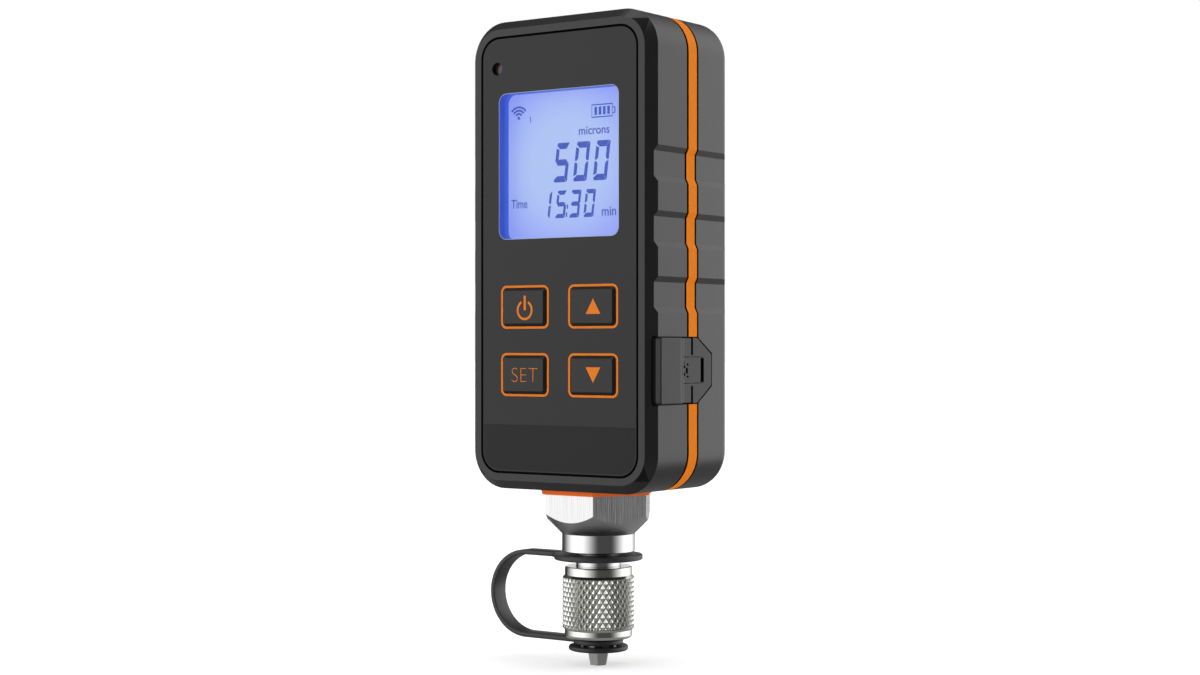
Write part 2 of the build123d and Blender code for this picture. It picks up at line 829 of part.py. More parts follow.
# Swivel nut: plain collars above and below a raised knurl band, threaded from its mouth
with BuildPart() as coupler_nut:
    knurl_step = knurl_radius - nut_collar_radius
    bore_top = neck_radius + swivel_clearance
    with BuildSketch(Plane.XZ):
        with BuildLine():
            Polyline(
                (thread_radius + 0.6, 0),
                (nut_collar_radius, 0),
                (nut_collar_radius, knurl_low - knurl_step),
                (knurl_radius, knurl_low),
                (knurl_radius, knurl_high),
                (nut_collar_radius, knurl_high + knurl_step),
                (nut_collar_radius, nut_height - 0.3),
                (nut_collar_radius - 0.3, nut_height),
                (bore_top, nut_height),
                (bore_top, snap_ring_height + 0.55),
                (bore_top + 0.55, snap_ring_height + 0.55),
                (bore_top + 0.55, snap_ring_height - 0.55),
                (bore_top, snap_ring_height - 0.55),
                (bore_top, thread_top),
                (thread_radius, thread_top),
                (thread_radius, 0.6),
                close=True,
            )
        make_face()
    revolve(axis=Axis.Z)
    mouth_edges = coupler_nut.edges().filter_by(GeomType.CIRCLE).group_by(Axis.Z)[0]
    fillet(mouth_edges.sort_by(SortBy.RADIUS)[-1], nut_mouth_round)
save(coupler_nut, "coupler_nut")

# Snap ring: an open ring of round wire that holds the nut on the neck
with BuildPart() as snap_ring:
    with BuildSketch(Plane.XZ):
        with Locations((neck_radius + 0.05, snap_ring_height)):
            Circle(snap_ring_wire)
    revolve(axis=Axis.Z, revolution_arc=325)
save(snap_ring, "snap_ring")

# Soft flare gasket on the end of the neck
with BuildPart() as flare_gasket:
    with BuildSketch(Plane.XY.offset(neck_bottom - 1.0)):
        Circle(4.4)
        Circle(2.4, mode=Mode.SUBTRACT)
    extrude(amount=1.0)
    fillet(flare_gasket.faces().sort_by(Axis.Z)[0].edges(), 0.3)
save(flare_gasket, "flare_gasket")

# Core depressor: a slotted disc with a pin that opens the service valve
with BuildPart() as core_depressor:
    with BuildSketch(Plane.XY.offset(neck_bottom)):
        Circle(2.18)
        with PolarLocations(1.5, 3):
            Circle(0.5, mode=Mode.SUBTRACT)
    extrude(amount=1.2)
    with BuildSketch(Plane.XY.offset(neck_bottom - 3.4)):
        Circle(0.7)
    extrude(amount=3.4)
    fillet(core_depressor.faces().sort_by(Axis.Z)[0].edges(), 0.2)
save(core_depressor, "core_depressor")

# Strap: one soft moulding, a ring round the neck, a flat loop and a ring round the plug
with BuildPart() as plug_strap:
    strap_top = strap_upper_bottom + strap_thickness
    bend_radius = (strap_top - strap_lower_bottom) / 2
    bend_height = (strap_top + strap_lower_bottom) / 2
    with BuildSketch(across(strap_width / 2)):
        for inset, cut in ((0, Mode.ADD), (strap_thickness, Mode.SUBTRACT)):
            with Locations((strap_bend_x / 2, bend_height)):
                Rectangle(-strap_bend_x, 2 * (bend_radius - inset), mode=cut)
            with Locations((strap_bend_x, bend_height)):
                Circle(bend_radius - inset, mode=cut)
    extrude(amount=strap_width)
    for height, radius in (
        (strap_upper_bottom, strap_upper_radius),
        (strap_lower_bottom, strap_lower_radius),
    ):
        with BuildSketch(Plane.XY.offset(height)):
            Circle(radius)
        extrude(amount=strap_thickness)
    for height, radius in (
        (strap_upper_bottom, neck_radius + swivel_clearance),
        (strap_lower_bottom, plug_neck_radius + 0.1),
    ):
        with BuildSketch(Plane.XY.offset(height)):
            Circle(radius)
        extrude(amount=strap_thickness, mode=Mode.SUBTRACT)
save(plug_strap, "plug_strap")

# Dust plug: turned stem for the nut, slim neck for the strap and a tapered hexagonal foot
with BuildPart() as dust_plug:
    with BuildSketch(Plane.XZ):
        with BuildLine():
            Polyline(
                (0, plug_washer_bottom),
                (plug_neck_radius, plug_washer_bottom),
                (plug_neck_radius, -0.1),
                (plug_stem_radius, -0.1),
                (plug_stem_radius, 3.9),
                (plug_stem_radius - 0.8, 3.9),
                (plug_stem_radius - 0.8, 5.1),
                (plug_stem_radius, 5.1),
                (plug_stem_radius, plug_stem_top - 0.5),
                (plug_stem_radius - 0.5, plug_stem_top),
                (1.4, plug_stem_top),
                (1.4, plug_stem_top - 3.0),
                (0, plug_stem_top - 3.0),
                close=True,
            )
        make_face()
    revolve(axis=Axis.Z)
    with BuildSketch(Plane.XY.offset(plug_washer_bottom)):
        RegularPolygon(2.6, 6)
    with BuildSketch(Plane.XY.offset(plug_end)):
        RegularPolygon(1.95, 6)
    loft()
save(dust_plug, "dust_plug")

# Ring seal in the groove of the plug's stem
with BuildPart() as plug_seal:
    with BuildSketch(Plane.XZ):
        with Locations((plug_stem_radius - 0.38, 4.5)):
            Ellipse(0.4, 0.55)
    revolve(axis=Axis.Z)
save(plug_seal, "plug_seal")

# Star washer that keeps the strap on the plug
with BuildPart() as star_washer:
    with BuildSketch(Plane.XY.offset(plug_washer_top)):
        Circle(3.6)
        with PolarLocations(3.9, 10):
            Rectangle(1.2, 0.9)
        Circle(plug_neck_radius, mode=Mode.SUBTRACT)
    extrude(amount=0.28)
save(star_washer, "star_washer")

# Soft round washer at the foot of the plug
with BuildPart() as plug_washer:
    with BuildSketch(Plane.XY.offset(plug_washer_bottom)):
        Circle(plug_washer_radius)
        Circle(plug_neck_radius, mode=Mode.SUBTRACT)
    extrude(amount=plug_washer_top - plug_washer_bottom)
    fillet(plug_washer.edges().filter_by(GeomType.CIRCLE).sort_by(SortBy.RADIUS)[-2:], 0.45)
save(plug_washer, "plug_washer")
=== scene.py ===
import json
import math

import bmesh
import bpy
from mathutils import Matrix, Vector

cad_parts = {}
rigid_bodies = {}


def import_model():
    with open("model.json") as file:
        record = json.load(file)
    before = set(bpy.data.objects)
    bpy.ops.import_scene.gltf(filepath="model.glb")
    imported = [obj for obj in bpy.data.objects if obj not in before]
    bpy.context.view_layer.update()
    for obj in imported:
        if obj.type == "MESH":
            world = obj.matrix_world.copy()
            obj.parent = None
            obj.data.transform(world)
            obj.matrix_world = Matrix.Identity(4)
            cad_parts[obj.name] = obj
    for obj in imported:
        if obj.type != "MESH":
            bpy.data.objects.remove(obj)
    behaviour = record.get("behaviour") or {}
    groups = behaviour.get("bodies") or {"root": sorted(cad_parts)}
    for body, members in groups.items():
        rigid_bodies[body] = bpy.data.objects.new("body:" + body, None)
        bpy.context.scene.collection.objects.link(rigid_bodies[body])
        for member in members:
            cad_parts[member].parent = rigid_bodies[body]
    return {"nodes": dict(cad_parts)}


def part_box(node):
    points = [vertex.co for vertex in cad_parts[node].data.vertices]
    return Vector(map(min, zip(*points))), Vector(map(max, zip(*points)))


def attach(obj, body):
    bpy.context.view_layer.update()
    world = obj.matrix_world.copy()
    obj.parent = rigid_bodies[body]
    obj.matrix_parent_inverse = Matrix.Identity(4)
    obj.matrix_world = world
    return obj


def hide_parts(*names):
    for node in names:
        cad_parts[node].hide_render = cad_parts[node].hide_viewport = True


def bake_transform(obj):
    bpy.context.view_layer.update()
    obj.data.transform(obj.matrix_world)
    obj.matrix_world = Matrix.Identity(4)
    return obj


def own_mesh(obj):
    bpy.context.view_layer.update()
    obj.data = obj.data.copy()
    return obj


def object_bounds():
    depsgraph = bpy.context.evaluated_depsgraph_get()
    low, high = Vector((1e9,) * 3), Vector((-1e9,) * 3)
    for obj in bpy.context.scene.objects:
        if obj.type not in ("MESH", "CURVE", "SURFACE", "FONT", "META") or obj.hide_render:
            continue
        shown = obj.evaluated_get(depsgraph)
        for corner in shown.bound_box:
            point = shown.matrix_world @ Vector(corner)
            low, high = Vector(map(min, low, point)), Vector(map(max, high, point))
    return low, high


MM = 0.001
for leftover in list(bpy.data.objects):
    bpy.data.objects.remove(leftover)
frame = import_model()
bpy.context.view_layer.update()
cad_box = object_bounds()

# Camera. It stands level with the middle of the gauge, 35 degrees round to the right, and looks
# through a long lens, so that the sides of the gauge stay nearly parallel.
camera_data = bpy.data.cameras.new("camera")
camera_data.sensor_width = 36.0
camera_data.lens = 61.26
camera_data.clip_start = 0.01
camera = bpy.data.objects.new("camera", camera_data)
bpy.context.scene.collection.objects.link(camera)
camera_place = Vector((261.58, -369.46, 65.14)) * MM
camera_aim = Vector((0.286, 0.202, 66.361)) * MM
camera.rotation_euler = (camera_aim - camera_place).to_track_quat("-Z", "Y").to_euler()
camera.location = camera_place
bpy.context.scene.camera = camera
bpy.context.scene.view_settings.view_transform = "Standard"


# Studio light. Two tall soft panels stand round the gauge, one in front on its left and one
# behind on its right, with a third overhead, and the room between them is dim, so that metal
# shows bright and dark bands. The camera sees a white backdrop, and metal shows it too.
def node(tree, kind, inputs=None, **options):
    """Adds a shader or geometry node, sets its options, and fills or links its inputs."""
    made = tree.nodes.new(kind)
    for option, value in options.items():
        setattr(made, option, value)
    for socket_name, value in (inputs or {}).items():
        socket = made.inputs[socket_name]
        if isinstance(value, bpy.types.NodeSocket):
            tree.links.new(value, socket)
        else:
            socket.default_value = value
    return made


def calc(tree, operation, first, second=0.0):
    """The result of a Math node."""
    return node(tree, "ShaderNodeMath", {0: first, 1: second}, operation=operation).outputs[0]


def times(tree, first, second):
    """One value multiplied by another."""
    return calc(tree, "MULTIPLY", first, second)


def vector(tree, operation, first, second=(0.0, 0.0, 0.0)):
    """The outputs of a Vector Math node: the first is a vector, and Value is a number."""
    inputs = {0: first, 1: second}
    return node(tree, "ShaderNodeVectorMath", inputs, operation=operation).outputs


def ramp(tree, value, start, end, low=0.0, high=1.0):
    """A value that goes smoothly from low to high between start and end."""
    mapped = node(
        tree,
        "ShaderNodeMapRange",
        {"Value": value, "From Min": start, "From Max": end, "To Min": low, "To Max": high},
        interpolation_type="SMOOTHSTEP",
    )
    return mapped.outputs["Result"]


def faced(tree, flat_direction, azimuth):
    """The cosine between a level direction and an azimuth in degrees."""
    turn = math.radians(azimuth)
    towards = (math.cos(turn), math.sin(turn), 0.0)
    return vector(tree, "DOT_PRODUCT", flat_direction, towards)["Value"]


def soft_panel(tree, flat_direction, azimuth, edge):
    """How bright a tall soft panel is in a level direction: 1 in its middle, fading to its edge."""
    facing = faced(tree, flat_direction, azimuth)
    near = node(tree, "ShaderNodeMapRange", {"Value": facing, "From Min": edge, "From Max": 1.0})
    return calc(tree, "POWER", near.outputs["Result"], 2.0)


# Azimuths are in degrees. Sides are cosines from the azimuth, and ends and edges are sines of
# the height above or below the level.
room_light = 0.12
ground_light = 0.42
ground_edge = (-0.2, -0.35)
front_panel_light = 2.6
front_panel_azimuth = -125.0
front_panel_side = 0.3
rear_panel_light = 2.6
rear_panel_azimuth = 53.0
rear_panel_side = 0.36
panel_ends = (0.5, 0.85)
top_panel_light = 2.2
top_panel_edge = (0.85, 0.93)
backdrop_azimuth = 125.3
backdrop_sides = (0.966, 0.982)
backdrop_ends = (0.12, 0.2)
world = bpy.data.worlds.new("studio")
world.use_nodes = True
bpy.context.scene.world = world
studio = world.node_tree
studio.nodes.clear()
direction = node(studio, "ShaderNodeTexCoord").outputs["Generated"]
level = vector(studio, "MULTIPLY", direction, (1.0, 1.0, 0.0))[0]
level = vector(studio, "NORMALIZE", level)[0]
height = node(studio, "ShaderNodeSeparateXYZ", {"Vector": direction}).outputs["Z"]
tilt = calc(studio, "ABSOLUTE", height)
front_part = soft_panel(studio, level, front_panel_azimuth, front_panel_side)
front_part = times(studio, front_part, front_panel_light)
rear_part = soft_panel(studio, level, rear_panel_azimuth, rear_panel_side)
rear_part = times(studio, rear_part, rear_panel_light)
panels = calc(studio, "ADD", front_part, rear_part)
panels = times(studio, panels, ramp(studio, tilt, *panel_ends, 1.0, 0.0))
overhead = ramp(studio, height, *top_panel_edge, 0.0, top_panel_light)
room = calc(studio, "ADD", calc(studio, "ADD", panels, overhead), room_light)
underfoot = ramp(studio, height, *ground_edge)
strength = node(studio, "ShaderNodeMix", {"Factor": underfoot, "A": room, "B": ground_light})
studio_light = node(studio, "ShaderNodeBackground", {"Strength": strength.outputs[0]})
white_backdrop = node(studio, "ShaderNodeBackground", {"Color": (1, 1, 1, 1), "Strength": 1.0})
rays = node(studio, "ShaderNodeLightPath").outputs
backdrop = ramp(studio, faced(studio, level, backdrop_azimuth), *backdrop_sides)
backdrop = times(studio, backdrop, ramp(studio, tilt, *backdrop_ends, 1.0, 0.0))
seen = calc(studio, "MAXIMUM", rays["Is Camera Ray"], rays["Is Transmission Ray"])
seen = calc(studio, "MAXIMUM", seen, times(studio, rays["Is Glossy Ray"], backdrop))
mixed = node(
    studio,
    "ShaderNodeMixShader",
    {0: seen, 1: studio_light.outputs[0], 2: white_backdrop.outputs[0]},
)
node(studio, "ShaderNodeOutputWorld", {"Surface": mixed.outputs[0]})

# Floor. The gauge stands on a wide pale sheet, which the camera sees as white paper, apart from
# the faint shadow under the coupler.
floor_half = 6.0
floor_grey = 0.84
floor_glow = 0.5
floor_mesh = bpy.data.meshes.new("floor")
floor_corners = [(-1, -1), (1, -1), (1, 1), (-1, 1)]
floor_points = [(x * floor_half, y * floor_half, cad_box[0].z) for x, y in floor_corners]
floor_mesh.from_pydata(floor_points, [], [(0, 1, 2, 3)])
floor = bpy.data.objects.new("floor", floor_mesh)
bpy.context.scene.collection.objects.link(floor)
paper = bpy.data.materials.new("white_paper")
paper.use_nodes = True
paper_tree = paper.node_tree
paper_shader = paper_tree.nodes["Principled BSDF"]
paper_shader.inputs["Base Color"].default_value = (floor_grey, floor_grey, floor_grey, 1)
paper_shader.inputs["Roughness"].default_value = 0.9
paper_shader.inputs["Specular IOR Level"].default_value = 0.0
paper_shader.inputs["Emission Color"].default_value = (1, 1, 1, 1)
paper_rays = node(paper_tree, "ShaderNodeLightPath")
glow = times(paper_tree, paper_rays.outputs["Is Camera Ray"], floor_glow)
paper_tree.links.new(glow, paper_shader.inputs["Emission Strength"])
floor_mesh.materials.append(paper)
floor.visible_glossy = False


# Housing shells. Both are moulded in black glass-filled nylon with a fine spark texture, and four
# long screws from the back pull them together on the band. Painted shade makes the walls of the
# port pocket, of the panel's bed and of the rear shell's groove by the band nearly black.
def new_material(name, roughness, specular=0.5, metallic=0.0):
    """A material with its node tree and its shader."""
    made = bpy.data.materials.new(name)
    made.use_nodes = True
    shader = made.node_tree.nodes["Principled BSDF"]
    shader.inputs["Roughness"].default_value = roughness
    shader.inputs["Specular IOR Level"].default_value = specular
    shader.inputs["Metallic"].default_value = metallic
    return made, made.node_tree, shader


def place(tree):
    """The piece's own coordinates, in metres."""
    return node(tree, "ShaderNodeTexCoord").outputs["Object"]


def axes_of(tree):
    """The piece's own X, Y and Z."""
    return node(tree, "ShaderNodeSeparateXYZ", {"Vector": place(tree)}).outputs


def grain(tree, size, detail=2.0, stretch=(1.0, 1.0, 1.0)):
    """Noise in features of about the given size in millimetres."""
    mapped = node(tree, "ShaderNodeMapping", {"Vector": place(tree), "Scale": stretch})
    inputs = {"Vector": mapped.outputs[0], "Scale": 1.0 / (size * MM), "Detail": detail}
    return node(tree, "ShaderNodeTexNoise", inputs).outputs["Fac"]


def two_tone(tree, factor, first, second):
    """A colour between two others, each of them given as numbers or as a socket."""
    mixer = node(tree, "ShaderNodeMix", {0: factor}, data_type="RGBA")
    for colour, socket in ((first, mixer.inputs[6]), (second, mixer.inputs[7])):
        if isinstance(colour, bpy.types.NodeSocket):
            tree.links.new(colour, socket)
        else:
            socket.default_value = (*colour, 1)
    return mixer.outputs[2]


def relief(tree, shader, height, depth):
    """Bump of the given depth in millimetres."""
    bump = node(tree, "ShaderNodeBump", {"Height": height, "Distance": depth * MM})
    tree.links.new(bump.outputs["Normal"], shader.inputs["Normal"])


def plain_finish(name, first, second, grain_size, depth, roughness, specular=0.5, metallic=0.0):
    """A surface of two close colours with a fine relief of its own, sizes in millimetres."""
    made, tree, shader = new_material(name, roughness, specular, metallic)
    cloud = grain(tree, grain_size * 12, 3.0)
    tree.links.new(two_tone(tree, cloud, first, second), shader.inputs["Base Color"])
    relief(tree, shader, grain(tree, grain_size), depth)
    return made


def dress(material, *names):
    """Gives modelled pieces their finish."""
    for name in names:
        mesh = frame["nodes"][name].data
        mesh.materials.clear()
        mesh.materials.append(material)


def between(tree, value, low, high, soft=0.02):
    """1 where a length lies between two others in millimetres, and 0 outside."""
    rise = ramp(tree, value, (low - soft) * MM, low * MM)
    fall = ramp(tree, value, high * MM, (high + soft) * MM, 1.0, 0.0)
    return times(tree, rise, fall)


def in_box(tree, x_range, y_range, z_range):
    """1 inside a box given in millimetres, and 0 outside."""
    x, y, z = axes_of(tree)
    flat = times(tree, between(tree, x, *x_range), between(tree, y, *y_range))
    return times(tree, flat, between(tree, z, *z_range))


def moulded(name, first, second, painted_shade_boxes, specular):
    """Spark-textured nylon, with painted shade that makes it nearly black and dull in the given
    boxes.
    """
    open_roughness = 0.36
    shaded_roughness = 0.9
    made, tree, shader = new_material(name, open_roughness, specular)
    painted_shade = 0.0
    for walls in painted_shade_boxes:
        painted_shade = calc(tree, "MAXIMUM", painted_shade, in_box(tree, *walls))
    cloud = two_tone(tree, grain(tree, 1.9, 3.0), first, second)
    # Painted shade: the colour goes to near black inside the boxes.
    body = two_tone(tree, painted_shade, cloud, (0.002, 0.002, 0.002))
    roughness = ramp(tree, painted_shade, 0.0, 1.0, open_roughness, shaded_roughness)
    tree.links.new(body, shader.inputs["Base Color"])
    tree.links.new(roughness, shader.inputs["Roughness"])
    relief(tree, shader, grain(tree, 0.16), 0.008)
    return made


# Boxes in millimetres where painted shade goes: pocket walls, panel bed walls, band groove wall.
pocket_walls = ((23.0, 24.5), (-13.95, 8.4), (51.9, 66.6))
bed_walls = ((-22.4, 22.4), (-15.18, -13.0), (36.0, 133.5))
band_walls = ((-25.0, 25.0), (2.5, 2.68), (30.0, 140.0))
moulded_black = moulded(
    "moulded_black",
    (0.011, 0.011, 0.011),
    (0.014, 0.014, 0.0145),
    painted_shade_boxes=[pocket_walls, bed_walls],
    specular=0.35,
)
moulded_rear = moulded(
    "moulded_rear",
    (0.015, 0.015, 0.015),
    (0.019, 0.019, 0.0195),
    painted_shade_boxes=[pocket_walls, band_walls],
    specular=0.4,
)
dress(moulded_black, "front_housing")
dress(moulded_rear, "rear_housing")

# Clamped band. One ring of orange elastomer runs right round between the shells. Its two sunken
# lips carry painted shade, near black, which draws a dark line along each side of its crown, and
# painted shade also darkens the band round the port pocket.
band, band_tree, band_shader = new_material("band_elastomer", 0.6, 0.03)
crown_front = -1.16
crown_rear = 2.06
crown = between(band_tree, axes_of(band_tree)["Y"], crown_front, crown_rear)
# Painted shade: near black off the crown, on the sunken lips, and round the port pocket.
band_painted_shade = calc(band_tree, "SUBTRACT", 1.0, crown)
band_painted_shade = calc(band_tree, "MAXIMUM", band_painted_shade, in_box(band_tree, *pocket_walls))
band_colour = two_tone(band_tree, band_painted_shade, (1.0, 0.262, 0.014), (0.03, 0.007, 0.003))
band_tree.links.new(band_colour, band_shader.inputs["Base Color"])
relief(band_tree, band_shader, grain(band_tree, 0.12), 0.006)
dress(band, "mid_band")

# Screws. Zinc-plated steel with a cross recess: four long ones for the shells, four short ones
# for the board.
zinc = plain_finish(
    "zinc_plate",
    (0.42, 0.42, 0.43),
    (0.55, 0.55, 0.56),
    grain_size=0.1,
    depth=0.003,
    roughness=0.35,
    metallic=1.0,
)
dress(zinc, "shell_screws", "board_screws")

# Front panel. A flat plate with a matt printed face sits in the shell's bed, with a shadow gap
# all round. Its foot is printed a shade darker, and that strip stays bare.
panel_black = plain_finish(
    "panel_black",
    (0.011, 0.011, 0.011),
    (0.013, 0.013, 0.0135),
    grain_size=0.09,
    depth=0.002,
    roughness=0.42,
    specular=0.26,
)
dress(panel_black, "front_panel")


def new_piece(name, mesh, material, body):
    """Makes a finished bmesh into a piece, which rides on the given body when there is one."""
    data = bpy.data.meshes.new(name)
    mesh.to_mesh(data)
    mesh.free()
    data.materials.append(material)
    made = bpy.data.objects.new(name, data)
    bpy.context.scene.collection.objects.link(made)
    if body:
        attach(made, body)
    return made


def arc(centre, radius, start, end, steps=16):
    """Points along an arc, angles in degrees from the right."""
    turns = [math.radians(start + (end - start) * i / steps) for i in range(steps + 1)]
    return [(centre[0] + radius * math.cos(t), centre[1] + radius * math.sin(t)) for t in turns]


def rounded(centre, size, radius, steps=8):
    """Points round a rectangle with round corners, in millimetres across the gauge."""
    points = []
    for start, side_x, side_z in ((0, 1, 1), (90, -1, 1), (180, -1, -1), (270, 1, -1)):
        x = centre[0] + (size[0] / 2 - radius) * side_x
        z = centre[1] + (size[1] / 2 - radius) * side_z
        points += arc((x, z), radius, start, start + 90, steps)
    return points


def filled(points):
    """A patch of ink that fills an outline."""
    return points, [tuple(range(len(points)))]


def stroke(path, width, closed=False):
    """A patch of ink that follows a path with an even width."""
    count = len(path)
    points = []
    for i, (x, z) in enumerate(path):
        before = path[(i - 1) % count] if closed or i > 0 else path[i]
        after = path[(i + 1) % count] if closed or i < count - 1 else path[i]
        ahead = Vector((after[0] - before[0], after[1] - before[1])).normalized()
        off = Vector((-ahead.y, ahead.x)) * width / 2
        points += [(x + off.x, z + off.y), (x - off.x, z - off.y)]
    faces = []
    for i in range(count if closed else count - 1):
        j = (i + 1) % count
        faces.append((2 * i, 2 * i + 1, 2 * j + 1, 2 * j))
    return points, faces


def ink(name, patches, depth, thickness, material, body):
    """Printed patches: a thin layer on a plane across the gauge at the given depth."""
    mesh = bmesh.new()
    for points, faces in patches:
        corners = [mesh.verts.new((x * MM, depth * MM, z * MM)) for x, z in points]
        for face in faces:
            mesh.faces.new([corners[i] for i in face])
    grown = bmesh.ops.extrude_face_region(mesh, geom=mesh.faces[:])
    raised = [g for g in grown["geom"] if isinstance(g, bmesh.types.BMVert)]
    bmesh.ops.translate(mesh, verts=raised, vec=(0, -thickness * MM, 0))
    bmesh.ops.recalc_face_normals(mesh, faces=mesh.faces[:])
    return new_piece(name, mesh, material, body)


panel_low, panel_high = (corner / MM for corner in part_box("front_panel"))
panel_face = panel_low.y
ink_layer = 0.03
footer_top = 47.3
footer_edge = 0.3
footer_radius = 4.0
footer_left = panel_low.x + footer_edge
footer_right = panel_high.x - footer_edge
corner_height = panel_low.z + footer_edge + footer_radius
left_corner = (footer_left + footer_radius, corner_height)
right_corner = (footer_right - footer_radius, corner_height)
footer_outline = [(footer_right, footer_top), (footer_left, footer_top)]
footer_outline += arc(left_corner, footer_radius, 180, 270, 8)
footer_outline += arc(right_corner, footer_radius, 270, 360, 8)
footer_black = plain_finish(
    "footer_black",
    (0.0065, 0.006, 0.008),
    (0.008, 0.0075, 0.0095),
    grain_size=0.09,
    depth=0.002,
    roughness=0.42,
    specular=0.19,
)
footer_print = [filled(footer_outline)]
ink("panel_footer", footer_print, panel_face, ink_layer, footer_black, "gauge_body")

# Key frames. Each key has an orange line printed round its hole in the panel.
orange_ink = plain_finish(
    "orange_ink",
    (0.86, 0.215, 0.012),
    (0.9, 0.235, 0.016),
    grain_size=0.2,
    depth=0.001,
    roughness=0.5,
    specular=0.15,
)
key_columns = (-8.9, 9.34)
key_rows = (72.98, 58.22)
frame_size = (12.55, 8.95)
frame_radius = 1.2
frame_line = 0.5
key_frames = []
for x in key_columns:
    for z in key_rows:
        frame_path = rounded((x, z), frame_size, frame_radius)
        key_frames.append(stroke(frame_path, frame_line, closed=True))
ink("key_frames", key_frames, panel_face, ink_layer, orange_ink, "gauge_body")

# Screen window. The clear lens is bonded flush in the panel, over a deep square well whose walls
# glow blue as painted light from the backlight, paler deeper in, and a fine pale line painted round
# the window is a painted highlight where the lens meets the panel.
window_centre = (0.0, 103.88)
window_size = 32.1
window_radius = 2.0
lens_clear, lens_tree, lens_shader = new_material("lens_clear", 0.05, 0.5)
lens_shader.inputs["Base Color"].default_value = (0.02, 0.02, 0.03, 1)
lens_shader.inputs["Alpha"].default_value = 0.06
relief(lens_tree, lens_shader, grain(lens_tree, 8.0), 0.002)
dress(lens_clear, "window_lens")


def give_light(tree, shader, colour, strength):
    """Lets a surface shine in a colour by itself."""
    tree.links.new(colour, shader.inputs["Emission Color"])
    shader.inputs["Emission Strength"].default_value = strength


# Painted light: the well's walls glow blue by themselves, darker at the front, paler deeper in.
well_painted_glow, well_tree, well_shader = new_material("well_painted_glow", 0.4, 0.3)
well_painted_gradient = ramp(well_tree, axes_of(well_tree)["Y"], -13.6 * MM, -12.9 * MM)
well_colour = two_tone(well_tree, well_painted_gradient, (0.022, 0.055, 0.36), (0.03, 0.085, 0.42))
well_tree.links.new(well_colour, well_shader.inputs["Base Color"])
give_light(well_tree, well_shader, well_colour, 0.9)
dress(well_painted_glow, "screen_shroud")
lining_wall = 0.04
lining_front = panel_face * MM
lining_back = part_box("screen_shroud")[0].y
lining_size = window_size - 2 * lining_wall
outer_ring = rounded(window_centre, (window_size, window_size), window_radius)
inner_ring = rounded(window_centre, (lining_size, lining_size), window_radius - lining_wall)
lining = bmesh.new()
loops = []
for ring, ends in (
    (outer_ring, (lining_back, lining_front)),
    (inner_ring, (lining_front, lining_back)),
):
    for y in ends:
        loops.append([lining.verts.new((x * MM, y, z * MM)) for x, z in ring])
for one, two in zip(loops, loops[1:] + loops[:1]):
    for i in range(len(one)):
        j = (i + 1) % len(one)
        lining.faces.new((one[i], one[j], two[j], two[i]))
bmesh.ops.recalc_face_normals(lining, faces=lining.faces[:])
new_piece("window_lining", lining, well_painted_glow, "gauge_body")
# Painted highlight: a fine pale line round the window stands for the glint of the lens's edge.
edge_glint = plain_finish(
    "painted_lens_glint",
    (0.30, 0.36, 0.46),
    (0.34, 0.4, 0.5),
    grain_size=0.3,
    depth=0.001,
    roughness=0.3,
)
edge_inset = 0.05
edge_line = 0.12
edge_layer = 0.02
edge_size = window_size - 2 * edge_inset
edge_path = rounded(window_centre, (edge_size, edge_size), window_radius - edge_inset)
edge_print = [stroke(edge_path, edge_line, closed=True)]
ink("painted_lens_glint", edge_print, panel_face, edge_layer, edge_glint, "gauge_body")

# Liquid crystal screen. The glass glows from its light guide, paler in the middle than at its
# edges, and the figures are dark blue segments on its face.
lit_glass, lit_tree, lit_shader = new_material("lit_glass", 0.35, 0.3)
pale_radius = 8.0
deep_radius = 23.0
window_shift = (0.0, 0.0, -window_centre[1] * MM)
from_middle = node(
    lit_tree, "ShaderNodeMapping", {"Vector": place(lit_tree), "Location": window_shift}
)
flat_place = vector(lit_tree, "MULTIPLY", from_middle.outputs[0], (1.0, 0.0, 1.0))[0]
spread = vector(lit_tree, "LENGTH", flat_place)["Value"]
glow_mix = ramp(lit_tree, spread, pale_radius * MM, deep_radius * MM)
glow_colour = two_tone(lit_tree, glow_mix, (0.425, 0.555, 0.93), (0.27, 0.345, 0.95))
lit_shader.inputs["Base Color"].default_value = (0.02, 0.025, 0.06, 1)
give_light(lit_tree, lit_shader, glow_colour, 1.0)
dress(lit_glass, "screen_glass")


def segment_ink(name, first, second):
    """Dark liquid crystal with the light of the glass behind it."""
    made, tree, shader = new_material(name, 0.5, 0.2)
    shader.inputs["Base Color"].default_value = (0.01, 0.02, 0.08, 1)
    give_light(tree, shader, two_tone(tree, grain(tree, 3.0), first, second), 1.0)
    return made


segment_blue = segment_ink("segment_blue", (0.045, 0.085, 0.46), (0.055, 0.10, 0.50))
pale_segment = segment_ink("pale_segment", (0.065, 0.11, 0.48), (0.075, 0.12, 0.5))
screen_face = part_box("screen_glass")[0].y / MM
lean = 0.13
SEGMENTS = {"0": "abcdef", "1": "bc", "3": "abcdg", "5": "acdfg"}


